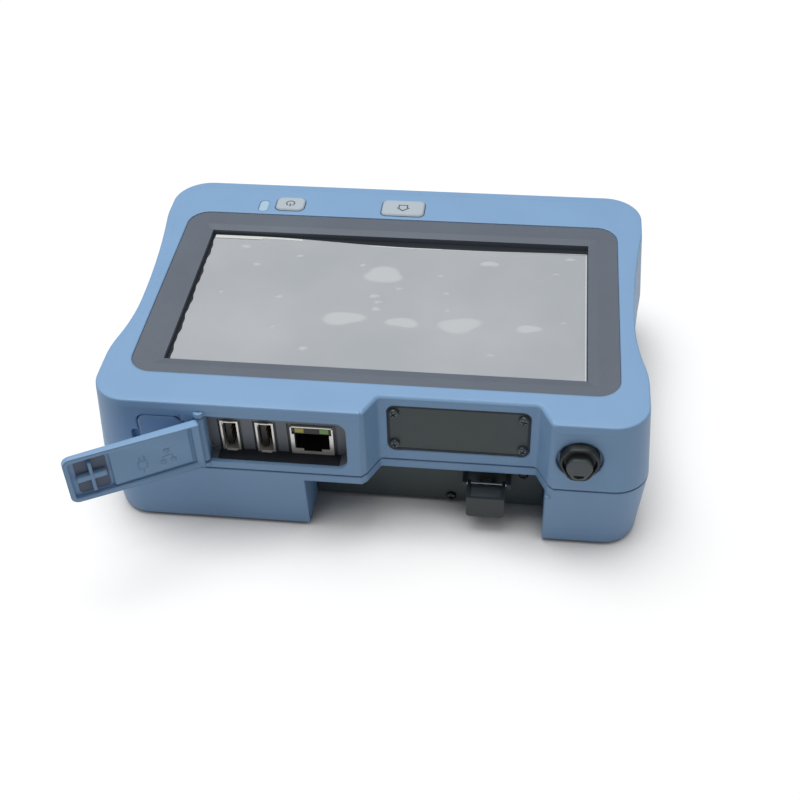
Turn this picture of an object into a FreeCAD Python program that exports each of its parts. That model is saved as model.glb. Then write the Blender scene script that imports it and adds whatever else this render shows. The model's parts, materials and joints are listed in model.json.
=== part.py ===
"""Handheld optical time domain reflectometer with a seven-inch touch display.

The unit lies on its back: +Z is the way the display faces, +X is across the display and the
connector wall is towards -Y. Every sub-part is drawn in the case frame, whose origin is on the
floor under the middle of the case, and its Placement carries it into the part's own frame.
"""
import FreeCAD, Part
import math
import os
import Sketcher
from FreeCAD import Placement, Rotation, Vector

os.makedirs("parts", exist_ok=True)
doc = FreeCAD.newDocument("Reflectometer")

# Dimensions in millimetres (angles in degrees), heights above the floor. A text is a formula
# over the other rows: a size that follows from them.
SIZES = {
    # case outline at the display face
    "case_shift": 12.2,        # from the frame's origin to the middle of the case, along Y
    "face_half": 98.3,         # half width at the ends of the face
    "grip_depth": 4.3,
    "waist_half": "=face_half - grip_depth",  # half width at the narrowest point of the grips
    "near_edge": 69.0,         # connector wall, in front of the case frame's origin
    "far_edge": 71.0,
    "waist_line": -12.0,       # where the grips are narrowest
    "near_grip_margin": 23.0,
    "near_shoulder": "=near_grip_margin - near_edge",  # where the grips begin and end
    "far_grip_margin": 22.0,
    "far_shoulder": "=far_edge - far_grip_margin",
    "shoulder_radius": 45.0,
    "near_corner": 13.0,
    "far_corner": 15.0,
    # heights and leans of the two shells
    "foot_stand": 1.2,
    "body_depth": 60.0,
    "seam_height": 30.8,
    "seam_gap": 0.6,
    "side_lean": 2.2,          # how far the walls spread from the face down to the seam
    "near_lean": 0.7,
    "far_lean": 1.5,
    "base_draft": 1.7,         # how far the rear shell draws in from the seam to the base
    "face_round": 2.5,
    "base_round": 6.0,
    "wall": 2.6,
    "face_wall": 3.0,
    "floor_wall": 3.0,
    "inner_corner": 8.0,
    "seal_inset": 0.9,
    # connector wall: thick behind the ports, set back at the option plate
    "port_wall": 6.0,
    "notch_wall": 3.5,
    "notch_depth": 9.5,
    "notch_left": 0.0,
    "notch_right": 64.5,
    "notch_slant": 4.1,
    "notch_round": 2.0,
    "notch_lip": 1.5,
    # bay for the optical port, open below
    "bay_left": -23.0,
    "bay_right": 64.0,
    "bay_back": -49.0,
    "bay_ceiling": 26.8,
    # display
    "bezel_margin": 6.0,
    "bezel_half": "=waist_half - bezel_margin",
    "bezel_near_margin": 16.1,
    "bezel_near": "=bezel_near_margin - near_edge",
    "bezel_far_margin": 22.6,
    "bezel_far": "=far_edge - bezel_far_margin",
    "bezel_corner": 8.5,
    "bezel_fit": 0.15,
    "bezel_thick": 1.5,
    "bezel_drop": 0.3,         # below the face of the front shell
    "bezel_collar": 1.0,
    "screen_slope": 3.6,       # width of the sloped border around the screen
    "screen_slope_drop": 0.5,
    "glass_lap": 8.0,
    "glass_half": "=bezel_half - glass_lap",
    "glass_near_lap": 4.9,
    "glass_near": "=bezel_near + glass_near_lap",
    "glass_far_lap": 8.3,
    "glass_far": "=bezel_far - glass_far_lap",
    "glass_thick": 1.2,
    "glass_fit": 0.4,
    "screen_border": 3.4,
    "screen_half": "=glass_half - screen_border",
    "screen_near": "=glass_near + screen_border",
    "screen_far": "=glass_far - screen_border",
    "film_thick": 0.15,
    "panel_over": 2.5,
    "panel_over_long": 5.9,
    "panel_half": "=glass_half + panel_over",
    "panel_near": "=glass_near - panel_over_long",
    "panel_far": "=glass_far + panel_over_long",
    "panel_thick": 5.2,
    "gasket_thick": 1.0,
    "ear_reach": 4.0,
    "ear_inset": 19.0,
    "ear_x": "=panel_half + ear_reach",
    "ear_near": "=panel_near + ear_inset",
    "ear_far": "=panel_far - ear_inset",
    # keys and lamp
    "power_x": -47.6,
    "power_rise": 7.6,
    "power_y": "=bezel_far + power_rise",
    "power_wide": 12.0,
    "power_long": 9.0,
    "power_corner": 2.6,
    "home_x": 0.0,
    "home_rise": 7.8,
    "home_y": "=bezel_far + home_rise",
    "home_wide": 17.7,
    "home_long": 10.7,
    "home_corner": 2.2,
    "key_gap": 0.3,
    "key_proud": 0.7,
    "key_flange": 1.0,
    "key_crown": 0.5,
    "key_stem": 0.8,
    "key_under": 0.35,         # below the inside of the face, at rest
    "lamp_x": -58.7,
    "lamp_rise": 6.0,
    "lamp_y": "=bezel_far + lamp_rise",
    "lamp_wide": 4.0,
    "lamp_long": 8.0,
    "lamp_corner": 1.9,
    "keypad_left": -70.0,
    "keypad_right": 18.0,
    "keypad_margin": 1.4,
    "keypad_long": 13.8,
    "keypad_near": "=bezel_far + keypad_margin",
    "keypad_far": "=keypad_near + keypad_long",
    "keypad_drop": 5.0,        # from the inside of the face to the board
    # port window and its flap
    "window_wide": 51.0,
    "window_from_notch": 6.5,
    "window_left": "=window_right - window_wide",
    "window_right": "=notch_left - window_from_notch",
    "window_low": 34.4,
    "window_tall": 21.4,
    "window_high": "=window_low + window_tall",
    "window_corner": 4.0,
    "flap_pivot_out": 0.8,
    "flap_pivot_x": "=window_left - flap_pivot_out",
    "flap_pivot_y": "=0 - near_edge",
    "flap_swing": 150.67,      # from shut to standing open
    "flap_under": 0.5,
    "flap_over": 0.4,
    "flap_low": "=window_low + flap_under",
    "flap_high": "=window_high - flap_over",
    "flap_start": 1.36,        # from the pivot to the hinge end of the flap
    "flap_short": 3.0,
    "flap_length": "=window_wide - flap_short",
    "flap_outer": 0.15,        # from the pivot back to the flap's outer face
    "flap_inner": 4.35,
    "flap_corner": 3.0,
    "barrel_radius": 1.5,
    "barrel_play": 0.45,
    "hinge_pin": 0.75,
    "pin_play": 0.05,
    "ear_radius": 1.9,
    "ear_thick": 1.8,
    "ear_step": 0.3,
    # ports
    "board_thick": 1.6,
    "board_top": "=window_low + flap_under",
    "plate_thick": 1.6,
    "plate_frame": 1.3,        # dark margin around each socket
    "port_proud": 0.5,
    "usb_margin": 7.6,
    "usb_pitch": 12.85,
    "usb_left": "=window_left + usb_margin",
    "usb_right": "=usb_left + usb_pitch",
    "usb_wide": 6.0,
    "usb_tall": 13.5,
    "usb_deep": 16.0,
    "usb_sheet": 0.4,
    "usb_flare": 0.3,
    "ethernet_margin": 13.45,
    "ethernet_x": "=window_right - ethernet_margin",
    "ethernet_wide": 15.5,
    "ethernet_tall": 13.4,
    "ethernet_deep": 21.0,
    "ethernet_sheet": 0.35,
    "ethernet_mouth": 12.2,
    # charging jack and its cover
    "jack_from_hinge": 7.9,
    "jack_x": "=cover_pivot_x - jack_from_hinge",
    "jack_z": 47.9,
    "jack_radius": 4.1,
    "jack_bore": 3.1,
    "jack_pin": 1.0,
    "cover_wide": 16.1,
    "cover_under": 6.7,
    "cover_over": 6.8,
    "cover_left": "=cover_pivot_x - cover_wide",
    "cover_low": "=jack_z - cover_under",
    "cover_high": "=jack_z + cover_over",
    "cover_thick": 1.5,
    "cover_from_window": 7.4,
    "cover_pivot_in": 0.55,
    "cover_pivot_x": "=window_left - cover_from_window",
    "cover_pivot_y": "=cover_pivot_in - near_edge",
    "cover_barrel": 1.0,
    "cover_pin": 0.5,
    "cover_gap": 0.35,
    # option plate
    "option_margin": 6.9,
    "option_left": "=notch_left + option_margin",
    "option_right": "=notch_right - option_margin",
    "option_low": 35.7,
    "option_high": 57.1,
    "option_corner": 3.0,
    "option_thick": 1.6,
    "option_sink": 1.9,
    "option_screw_wide": 45.8,
    "option_screw_tall": 14.7,
    "option_post": 1.8,
    "option_open_half": 18.0,
    "option_open_low": 40.5,
    "option_open_high": 52.5,
    # stylus
    "stylus_margin": 10.5,
    "stylus_x": "=notch_right + stylus_margin",
    "stylus_z": 45.7,
    "stylus_radius": 4.3,
    "stylus_play": 0.5,
    "stylus_length": 104.0,
    "stylus_tip": 6.0,
    "tube_wall": 0.6,
    "dish_radius": 8.2,
    "dish_depth": 1.7,
    "head_proud": 5.6,
    # optical port
    "optic_margin": 21.4,
    "optic_x": "=bay_right - optic_margin",
    "optic_z": 11.4,
    "optic_plate": 2.0,
    "nose_radius": 4.0,
    "nose_length": 9.0,
    "sleeve_radius": 1.6,
    "ferrule_radius": 1.25,
    "cap_half": 7.0,
    "cap_front": -65.0,
    "cap_low": 8.6,
    "cap_high": 18.4,
    "cap_wall": 1.2,
    "cap_pivot_y": -56.0,
    "cap_pivot_z": 17.0,
    "cap_pin": 0.6,
    # battery and its door
    "battery_left": -79.0,
    "battery_right": -1.0,
    "battery_near": -37.0,
    "battery_far": 3.0,
    "battery_tall": 20.5,
    "battery_fit": 0.4,
    "door_lip": 5.0,
    "door_thick": 1.5,
    "door_fit": 0.2,
    # tilt stand
    "stand_half": 58.4,
    "stand_near": 19.4,
    "stand_far": 58.6,
    "stand_thick": 3.0,
    "stand_gap": 0.4,
    "stand_pivot_y": 21.2,
    "stand_barrel": 1.5,
    "stand_pin": 0.8,
    # inside
    "module_left": 14.0,
    "module_right": 82.0,
    "module_gap": 4.0,
    "module_near": "=bay_back + module_gap",
    "module_far": 8.0,
    "module_tall": 20.0,
    "board_lift": 2.8,
    "chassis_top": "=board_top - board_thick - board_lift",
    "chassis_thick": 1.6,
    "coil_radius": 19.0,
    "coil_thick": 1.1,
    # feet and screws
    "foot_aside": 14.7,
    "foot_behind": 2.0,
    "foot_x": "=case_screw_x - foot_aside",
    "foot_near": "=case_screw_near - foot_behind",
    "foot_far": "=case_screw_far - foot_behind",
    "foot_radius": 6.0,
    "foot_sink": 0.8,
    "case_screw_in": 12.6,
    "case_screw_x": "=face_half - case_screw_in",
    "case_screw_near": "=case_screw_in - near_edge",
    "case_screw_far": "=far_edge - case_screw_in",
    "case_boss": 3.6,
    "case_seat": 18.0,
    "case_screw": 1.45,
    "case_screw_head": 2.7,
    "case_screw_length": 24.0,
    "small_screw": 1.0,
    "small_screw_head": 1.9,
    "small_screw_length": 5.0,
    "screw_play": 0.05,
    "post_radius": 2.6,
    # fine features
    "keypad_screw_in": 3.4,
    "film_margin": 0.5,
    "ear_sheet": 1.2,
    "panel_rim": 6.0,
    "panel_step": 0.8,
    "switch_body": 1.4,
    "switch_top": 1.8,
    "switch_wide": 6.0,
    "panel_lap": 1.5,          # port panel beyond its window
    "tongue_root": 4.0,
    "tongue_inset": 1.2,
    "tongue_shift": 0.6,
    "tongue_thick": 1.9,
    "tongue_margin": 0.7,
    "ethernet_latch": 2.6,
    "ethernet_plug": 7.0,
    "ethernet_key": 6.2,
    "ethernet_depth": 12.5,
    "link_wide": 3.2,
    "link_tall": 2.0,
    "link_deep": 4.0,
    "contact_pitch": 1.02,
    "contact_wide": 0.4,
    "contact_long": 9.0,
    "contact_inset": 2.5,
    "flap_web": 0.5,
    "flap_edge": 0.6,
    "flap_rim": 2.6,
    "flap_rim_low": 1.8,
    "flap_groove": 1.2,
    "flap_pad": 32.0,
    "flap_sink": 2.6,
    "latch_wide": 10.5,
    "latch_tall": 13.5,
    "latch_thick": 1.2,
    "latch_proud": 0.5,
    "cover_corner": 3.0,
    "cover_chamfer": 2.6,
    "cover_notch": 3.2,
    "cover_pin_bite": 1.6,
    "jack_body": 11.0,
    "jack_deep": 8.5,
    "jack_depth": 7.0,
    "head_half": 6.6,
    "head_slot": 1.2,
    "slot_half": 2.0,
    "slot_low": 4.4,
    "slot_high": 2.7,
    "stylus_point": 0.6,
    "tube_spare": 2.0,
    "tube_rest_in": 10.0,
    "panel_gap": 0.4,
    "optic_screw_x": 13.5,
    "optic_screw_z": 7.0,
    "adapter_mouth": 7.0,
    "adapter_bore": 2.75,
    "adapter_key": 2.2,
    "adapter_key_deep": 3.5,
    "adapter_neck": 3.5,
    "sleeve_proud": 4.5,
    "cap_side_gap": 0.35,
    "cap_lug": 1.6,
    "cap_sink": 0.8,
    "rib": 1.6,
    "stand_lug": 4.6,
    "stand_notch": 12.0,
    "stand_leg": 9.0,
    "chassis_margin": 4.0,
    "chassis_half": "=waist_half - chassis_margin",
    "chassis_far_margin": 18.0,
    "chassis_far": "=far_edge - chassis_far_margin",
    "chassis_post": 3.0,
    "chassis_post_in": 3.5,
    "chassis_post_x": "=chassis_half - chassis_post_in",
    "chassis_post_near_in": 9.0,
    "chassis_post_far_in": 7.0,
    "chassis_post_near": "=bay_back + chassis_post_near_in",
    "chassis_post_far": "=chassis_far - chassis_post_far_in",
    "board_post_x": 56.0,
    "board_post_near": -32.0,
    "board_post_far": 34.0,
    "board_half": 64.0,
    "board_near": -50.0,
    "board_far": 40.0,
    "processor_wide": 22.0,
    "chip_wide": 14.0,
    "chip_tall": 2.0,
    "chip_pitch": 34.0,
    "chip_near": -14.0,
    "chip_far": 12.0,
    "supply_wide": 12.0,
    "supply_tall": 3.6,
    "tray_tall": 2.4,
    "small_screw_short": 3.6,
    "ear_screw_length": 2.9,
}


class Size:
    """A length that knows both its value and the spreadsheet formula that gives it."""

    def __init__(self, value, formula):
        self.mm = value
        self.formula = formula

    def __add__(self, other):
        other = as_size(other)
        return Size(self.mm + other.mm, f"({self.formula} + {other.formula})")

    def __sub__(self, other):
        other = as_size(other)
        return Size(self.mm - other.mm, f"({self.formula} - {other.formula})")

    def __mul__(self, other):
        other = as_size(other)
        return Size(self.mm * other.mm, f"({self.formula} * {other.formula})")

    def __truediv__(self, other):
        other = as_size(other)
        return Size(self.mm / other.mm, f"({self.formula} / {other.formula})")

    def __neg__(self):
        return Size(-self.mm, f"(0 - {self.formula})")

    __radd__ = __add__
    __rmul__ = __mul__


def as_size(value):
    """A plain number used as a size."""
    if isinstance(value, Size):
        return value
    return Size(float(value), f"({value})")


class Sheet:
    """The dimensions as attributes, each backed by an aliased spreadsheet cell."""

    def __init__(self, rows):
        cells = doc.addObject("Spreadsheet::Sheet", "sizes")
        for row, alias in enumerate(rows, start=1):
            cells.set(f"A{row}", alias)
            cells.setAlias(f"B{row}", alias)
        for row, value in enumerate(rows.values(), start=1):
            cells.set(f"B{row}", str(value))
        doc.recompute()
        for alias in rows:
            setattr(self, alias, Size(float(getattr(cells, alias)), f"sizes.{alias}"))


S = Sheet(SIZES)
PAST = 1.0     # how far a cut starts or ends beyond the surface it opens
ROOTED = 0.5   # how deep a form reaches into what carries it

# Levels and planes that several sub-parts share
face_z = S.foot_stand + S.body_depth
ceiling_z = face_z - S.face_wall
base_z = S.foot_stand
floor_z = base_z + S.floor_wall
seam_low = S.seam_height - S.seam_gap / 2
seam_high = S.seam_height + S.seam_gap / 2
near_y = -S.near_edge
far_y = S.far_edge
port_back = near_y + S.port_wall
notch_back = near_y + S.notch_depth
notch_inside = notch_back + S.notch_wall
bezel_top = face_z - S.bezel_drop
bezel_seat = bezel_top - S.bezel_thick
glass_top = bezel_seat - S.bezel_collar
glass_bottom = glass_top - S.glass_thick
panel_top = ceiling_z - S.gasket_thick
panel_bottom = panel_top - S.panel_thick
keypad_top = ceiling_z - S.keypad_drop
board_bottom = S.board_top - S.board_thick
zero = as_size(0)
ROUND_STEPS = 3    # facets across the rounded edges of the two shells


# ---------------------------------------------------------------- sketches and features


def new_body(name):
    """An empty body in the case frame."""
    body = doc.addObject("PartDesign::Body", name)
    body.Label = name
    body.setExpression("Placement.Base.y", S.case_shift.formula)
    return body


def new_sketch(body, plane, level):
    """A sketch parallel to one of the body's origin planes, level along that plane's axis."""
    sketch = body.newObject("Sketcher::SketchObject", f"{body.Name}_sketch")
    origin = [f for f in body.Origin.OriginFeatures if f.Role == f"{plane}_Plane"][0]
    sketch.AttachmentSupport = [(origin, "")]
    sketch.MapMode = "FlatFace"
    along = -level if plane == "XZ" else level
    sketch.AttachmentOffset = Placement(Vector(0, 0, along.mm), Rotation())
    sketch.setExpression("AttachmentOffset.Base.z", along.formula)
    return sketch


def fix(sketch, dimensions):
    """Dimensions of the sketch, each a kind, what it measures and the size it is bound to."""
    made = [Sketcher.Constraint(kind, *where, size.mm) for kind, *where, size in dimensions]
    for number, dimension in zip(sketch.addConstraint(made), dimensions):
        sketch.setExpression(f"Constraints[{number}]", dimension[-1].formula)


def arc_through(start, end, radius, turn):
    """The minor arc from start to end: turn is 1 to the left and -1 to the right."""
    chord = end - start
    middle = (start + end) / 2
    left = Vector(-chord.y, chord.x, 0).normalize()
    rise = max(radius ** 2 - (chord.Length / 2) ** 2, 0) ** 0.5
    centre = middle + left * rise * turn
    first, last = (start, end) if turn > 0 else (end, start)
    sweep = Part.Circle(centre, Vector(0, 0, 1), radius)
    return Part.ArcOfCircle(sweep, sweep.parameter(first), sweep.parameter(last))


def outline(sketch, corners):
    """A closed chain of edges.

    Each corner is (x, y) where a straight edge leaves it, or (x, y, radius, turn) where an
    arc does.
    """
    first = sketch.GeometryCount
    count = len(corners)
    points = [Vector(corner[0].mm, corner[1].mm, 0) for corner in corners]
    ends = []
    for index, corner in enumerate(corners):
        start, end = points[index], points[(index + 1) % count]
        if len(corner) == 2:
            sketch.addGeometry(Part.LineSegment(start, end), False)
            ends.append((1, 2))
        else:
            sketch.addGeometry(arc_through(start, end, corner[2].mm, corner[3]), False)
            ends.append((1, 2) if corner[3] > 0 else (2, 1))
    joins, dimensions = [], []
    for index, corner in enumerate(corners):
        edge, after = first + index, first + (index + 1) % count
        tail, head = ends[index][1], ends[(index + 1) % count][0]
        joins.append(Sketcher.Constraint("Coincident", edge, tail, after, head))
        dimensions.append(("DistanceX", -1, 1, edge, ends[index][0], corner[0]))
        dimensions.append(("DistanceY", -1, 1, edge, ends[index][0], corner[1]))
        if len(corner) == 4:
            dimensions.append(("Radius", edge, corner[2]))
    sketch.addConstraint(joins)
    fix(sketch, dimensions)


def rectangle(left, low, right, top, corner=None):
    """The outline of a rectangle, its corners rounded if a radius is given."""
    left, low, right, top = map(as_size, (left, low, right, top))
    if corner is None:
        points = [(left, low), (right, low), (right, top), (left, top)]
    else:
        corner = as_size(corner)
        points = [
            (left + corner, low), (right - corner, low, corner, 1),
            (right, low + corner), (right, top - corner, corner, 1),
            (right - corner, top), (left + corner, top, corner, 1),
            (left, top - corner), (left, low + corner, corner, 1),
        ]
    return lambda sketch: outline(sketch, points)


def polygon(*points):
    """The outline through plain corners."""
    return lambda sketch: outline(sketch, [(as_size(x), as_size(y)) for x, y in points])


def circles(radius, *centres):
    """Equal circles about the given centres."""
    def draw(sketch):
        for x, y in centres:
            x, y = as_size(x), as_size(y)
            centre = Vector(x.mm, y.mm, 0)
            edge = sketch.addGeometry(Part.Circle(centre, Vector(0, 0, 1), radius.mm), False)
            fix(sketch, [("Radius", edge, radius), ("DistanceX", -1, 1, edge, 3, x),
                         ("DistanceY", -1, 1, edge, 3, y)])
    return draw


def settle(body, feature):
    """Make a new feature the body's tip and compute it."""
    body.Tip = feature
    doc.recompute([body])
    return feature


def add(body, plane, low, high, *shapes):
    """Solid between two levels of the plane's axis, with the outlines drawn by shapes."""
    low, high = as_size(low), as_size(high)
    sketch = new_sketch(body, plane, high if plane == "XZ" else low)
    for shape in shapes:
        shape(sketch)
    feature = body.newObject("PartDesign::Pad", f"{body.Name}_pad")
    feature.Profile = sketch
    feature.Length = (high - low).mm
    feature.setExpression("Length", (high - low).formula)
    return settle(body, feature)


def cut(body, plane, low, high, *shapes):
    """Hollow between two levels of the plane's axis, with the outlines drawn by shapes."""
    low, high = as_size(low), as_size(high)
    before = body.Tip.Shape.Volume
    sketch = new_sketch(body, plane, low if plane == "XZ" else high)
    for shape in shapes:
        shape(sketch)
    feature = body.newObject("PartDesign::Pocket", f"{body.Name}_pocket")
    feature.Profile = sketch
    feature.Length = (high - low).mm
    feature.setExpression("Length", (high - low).formula)
    settle(body, feature)
    if feature.Shape.isNull() or feature.Shape.Volume >= before:
        raise RuntimeError(f"{feature.Name} removes nothing")
    return feature


def loft(body, sections, kind="Additive"):
    """Solid, or hollow, ruled from sketch to sketch."""
    feature = body.newObject(f"PartDesign::{kind}Loft", f"{body.Name}_loft")
    feature.Profile = sections[0]
    feature.Sections = sections[1:]
    feature.Ruled = True
    return settle(body, feature)


def turn(body, shape):
    """Solid of revolution about the body's own Z axis, from a half profile in X and Z."""
    sketch = new_sketch(body, "XZ", as_size(0))
    shape(sketch)
    axis = [f for f in body.Origin.OriginFeatures if f.Role == "Z_Axis"][0]
    feature = body.newObject("PartDesign::Revolution", f"{body.Name}_turn")
    feature.Profile = sketch
    feature.ReferenceAxis = (axis, [""])
    feature.Angle = 360
    settle(body, feature)
    return body


def dress(body, kind, size, wanted):
    """Fillet or chamfer on every edge that the test wants."""
    base = body.Tip
    edges = [f"Edge{n}" for n, edge in enumerate(base.Shape.Edges, start=1) if wanted(edge)]
    if not edges:
        raise RuntimeError(f"no edge to dress on {body.Name}")
    feature = body.newObject(f"PartDesign::{kind}", f"{body.Name}_{kind.lower()}")
    feature.Base = (base, edges)
    prop = "Radius" if kind == "Fillet" else "Size"
    setattr(feature, prop, size.mm)
    feature.setExpression(prop, size.formula)
    return settle(body, feature)


def close(value, size, slack=0.01):
    return abs(value - as_size(size).mm) < slack


def upright(*places):
    """Edges parallel to Z above one of the (x, y) places."""
    def wanted(edge):
        ends = [vertex.Point for vertex in edge.Vertexes]
        if len(ends) != 2 or (ends[0] - ends[1]).Length < 0.1:
            return False
        return any(
            close(end.x, x, 0.3) and close(end.y, y, 0.3)
            for x, y in places for end in ends[:1]
        ) and abs(ends[0].z - ends[1].z) > 0.9 * (ends[0] - ends[1]).Length
    return wanted


def at_level(axis, level, slack=0.01):
    """Edges that lie wholly in one plane."""
    def wanted(edge):
        box = edge.BoundBox
        low, high = getattr(box, f"{axis}Min"), getattr(box, f"{axis}Max")
        return close(low, level, slack) and close(high, level, slack)
    return wanted


def primitive(kind, name, place=(0, 0, 0), turned=None, **sizes):
    """A Part primitive in the case frame, with its sizes and place bound to the sheet."""
    thing = doc.addObject(f"Part::{kind}", name)
    thing.Placement = Placement(Vector(0, 0, 0), turned or Rotation())
    for prop, size in sizes.items():
        setattr(thing, prop, as_size(size).mm)
        thing.setExpression(prop, as_size(size).formula)
    x, y, z = map(as_size, place)
    for axis, size in zip("xyz", (x, y + S.case_shift, z)):
        thing.setExpression(f"Placement.Base.{axis}", size.formula)
    return thing


def box(name, left, right, near, far, low, high):
    """A rectangular block between six planes."""
    left, right, near, far, low, high = map(as_size, (left, right, near, far, low, high))
    return primitive("Box", name, (left, near, low),
                     Length=right - left, Width=far - near, Height=high - low)


FORWARD = Rotation(Vector(1, 0, 0), 90)    # what points up is turned towards -Y
ACROSS = Rotation(Vector(0, 1, 0), 90)     # what points up is turned towards +X
DOWNWARD = Rotation(Vector(1, 0, 0), 180)


def group(name, members):
    """One node of several separate solids."""
    node = doc.addObject("Part::Compound", name)
    node.Links = members
    node.Label = name
    return node


def node_of(thing, name):
    thing.Label = name
    return thing


# ---------------------------------------------------------------- outline of the case


def mirrored(right_side):
    """A closed outline, symmetric about X = 0, from its right half drawn upwards."""
    left_side = []
    for index in range(len(right_side) - 1, -1, -1):
        x, y = right_side[index][:2]
        before = right_side[index - 1] if index else ()
        left_side.append((-x, y) + tuple(before[2:]))
    return right_side + left_side


def grip_curve(reach, depth):
    """How the side of a grip runs from its shoulder to the waist.

    A bulging arc and a hollow one meet smoothly on the line between the two ends. Returned are
    the hollow arc's radius and how far in and how far along the arcs meet.
    """
    both = (reach * reach + depth * depth) / (depth * 2)
    share = S.shoulder_radius / both
    return both - S.shoulder_radius, depth * share, reach * share


def case_side(half, waist, near, far, near_corner, far_corner):
    """Right half of the case outline: corner, grip hollow, corner."""
    depth = half - waist
    near_grip, near_in, near_along = grip_curve(S.waist_line - S.near_shoulder, depth)
    far_grip, far_in, far_along = grip_curve(S.far_shoulder - S.waist_line, depth)
    return [
        (half - near_corner, near, near_corner, 1),
        (half, near + near_corner),
        (half, S.near_shoulder, S.shoulder_radius, 1),
        (half - near_in, S.near_shoulder + near_along, near_grip, -1),
        (waist, S.waist_line, far_grip, -1),
        (half - far_in, S.far_shoulder - far_along, S.shoulder_radius, 1),
        (half, S.far_shoulder),
        (half, far - far_corner, far_corner, 1),
        (half - far_corner, far),
    ]


def case_outline(side, near, far):
    """Outer outline of the case, grown beyond the face's outline by the three amounts."""
    points = mirrored(case_side(
        S.face_half + side, S.waist_half + side, near_y - near, far_y + far,
        S.near_corner, S.far_corner))
    return lambda sketch: outline(sketch, points)


def rounding_steps(radius):
    """Insets and drops that follow a quarter round, from the wall to the flat."""
    for step in range(1, ROUND_STEPS + 1):
        angle = math.radians(90 * step / ROUND_STEPS)
        yield radius * (1 - math.cos(angle)), radius * (1 - math.sin(angle))


def case_section(body, level, side, near, far, inset=None):
    """Sketch of the case outline at one level."""
    inset = inset or zero
    sketch = new_sketch(body, "XY", level)
    case_outline(side - inset, near - inset, far - inset)(sketch)
    return sketch


def notch_shape(grown=None):
    """The set-back in the middle of the connector wall, cut from in front."""
    grown = grown or zero
    front = near_y - PAST * 5
    lip = near_y + S.notch_round * 0.6
    foot = near_y - S.near_lean
    points = [
        (S.notch_left - S.notch_round, front),
        (S.notch_right + S.notch_round, front),
        (S.notch_right + S.notch_round + grown, foot),
        (S.notch_right + grown, lip),
        (S.notch_right - S.notch_slant + grown, notch_back + grown),
        (S.notch_left + S.notch_slant - grown, notch_back + grown),
        (S.notch_left - grown, lip),
        (S.notch_left - S.notch_round - grown, foot),
    ]
    return polygon(*points)


# ---------------------------------------------------------------- shared places

case_screws_at = [
    (S.case_screw_x * side, y) for y in (S.case_screw_near, S.case_screw_far)
    for side in (-1, 1)
]
display_screws_at = [(S.ear_x * side, y) for y in (S.ear_near, S.ear_far) for side in (-1, 1)]
keypad_screws_at = [
    (S.keypad_left + S.keypad_screw_in, S.power_y),
    ((S.power_x + S.home_x) / 2, S.power_y),
    (S.keypad_right - S.keypad_screw_in, S.power_y),
]
option_x = (S.option_left + S.option_right) / 2
option_z = (S.option_low + S.option_high) / 2
option_seat = notch_back + S.option_sink
option_screws_at = [
    (option_x + S.option_screw_wide / 2 * across, option_z + S.option_screw_tall / 2 * up)
    for across in (-1, 1) for up in (-1, 1)
]
chassis_screws_at = [
    (S.chassis_post_x * side, y) for y in (S.chassis_post_near, S.chassis_post_far)
    for side in (-1, 1)
]
board_screws_at = [
    (S.board_post_x * side, y) for y in (S.board_post_near, S.board_post_far)
    for side in (-1, 1)
]
feet_at = [(S.foot_x * side, y) for y in (S.foot_near, S.foot_far) for side in (-1, 1)]
door_left = S.battery_left - S.door_lip
door_right = S.battery_right + S.door_lip
door_near = S.battery_near - S.door_lip
door_far = S.battery_far + S.door_lip
door_top = base_z + S.door_thick
door_screws_at = [
    (x, y) for y in (door_near + S.door_lip / 2, door_far - S.door_lip / 2)
    for x in (door_left + S.door_lip / 2, door_right - S.door_lip / 2)
]
optic_screws_at = [
    (S.optic_x + S.optic_screw_x * across, S.optic_z + S.optic_screw_z * across)
    for across in (-1, 1)
] + [(S.bay_left + S.optic_screw_z, S.optic_z)]
pin_low = S.window_low - S.ear_step - S.ear_thick + S.ear_step
pin_high = S.window_high + S.ear_thick
cover_outer = near_y - S.near_lean / 2
cover_inner = cover_outer + S.cover_thick
cover_floor = S.cover_pivot_y + S.cover_barrel + S.cover_gap
cover_barrel_low = S.cover_low + S.cover_chamfer
cover_barrel_high = S.cover_high - S.cover_chamfer
cover_pin_low = S.cover_low - S.cover_pin_bite
cover_pin_high = S.cover_high + S.cover_pin_bite
chassis_bottom = S.chassis_top - S.chassis_thick
stand_ceiling = base_z + S.stand_gap + S.stand_thick + S.stand_gap
stand_pivot_z = base_z + S.stand_gap + S.stand_barrel
bay_wall_inside = S.bay_back + S.wall

power_key = (S.power_x, S.power_y, S.power_wide, S.power_long, S.power_corner)
home_key = (S.home_x, S.home_y, S.home_wide, S.home_long, S.home_corner)


def centred(x, y, wide, tall, corner=None):
    """The outline of a rectangle about its centre."""
    return rectangle(x - wide / 2, y - tall / 2, x + wide / 2, y + tall / 2, corner)


def key_shape(key, grown):
    """Outline of a key cap, grown all round."""
    x, y, wide, long, corner = key
    return centred(x, y, wide + grown * 2, long + grown * 2, corner + grown)


def lamp_shape(sketch):
    centred(S.lamp_x, S.lamp_y, S.lamp_wide, S.lamp_long, S.lamp_corner)(sketch)


def window_shape(sketch):
    """The port window: square at the hinge, rounded at the flap's free end."""
    left, right, low, high = S.window_left, S.window_right, S.window_low, S.window_high
    corner = S.window_corner
    outline(sketch, [
        (left, low), (right - corner, low, corner, 1), (right, low + corner),
        (right, high - corner, corner, 1), (right - corner, high), (left, high),
    ])


def cover_shape(grown, end):
    """Outline of the jack cover: rounded above its free end, bevelled above its hinge."""
    left, low, high = S.cover_left - grown, S.cover_low - grown, S.cover_high + grown
    corner, bevel = S.cover_corner, S.cover_chamfer
    return lambda sketch: outline(sketch, [
        (left, low), (end, low), (end, high - bevel), (end - bevel, high),
        (left + corner, high, corner, 1), (left, high - corner),
    ])


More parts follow.
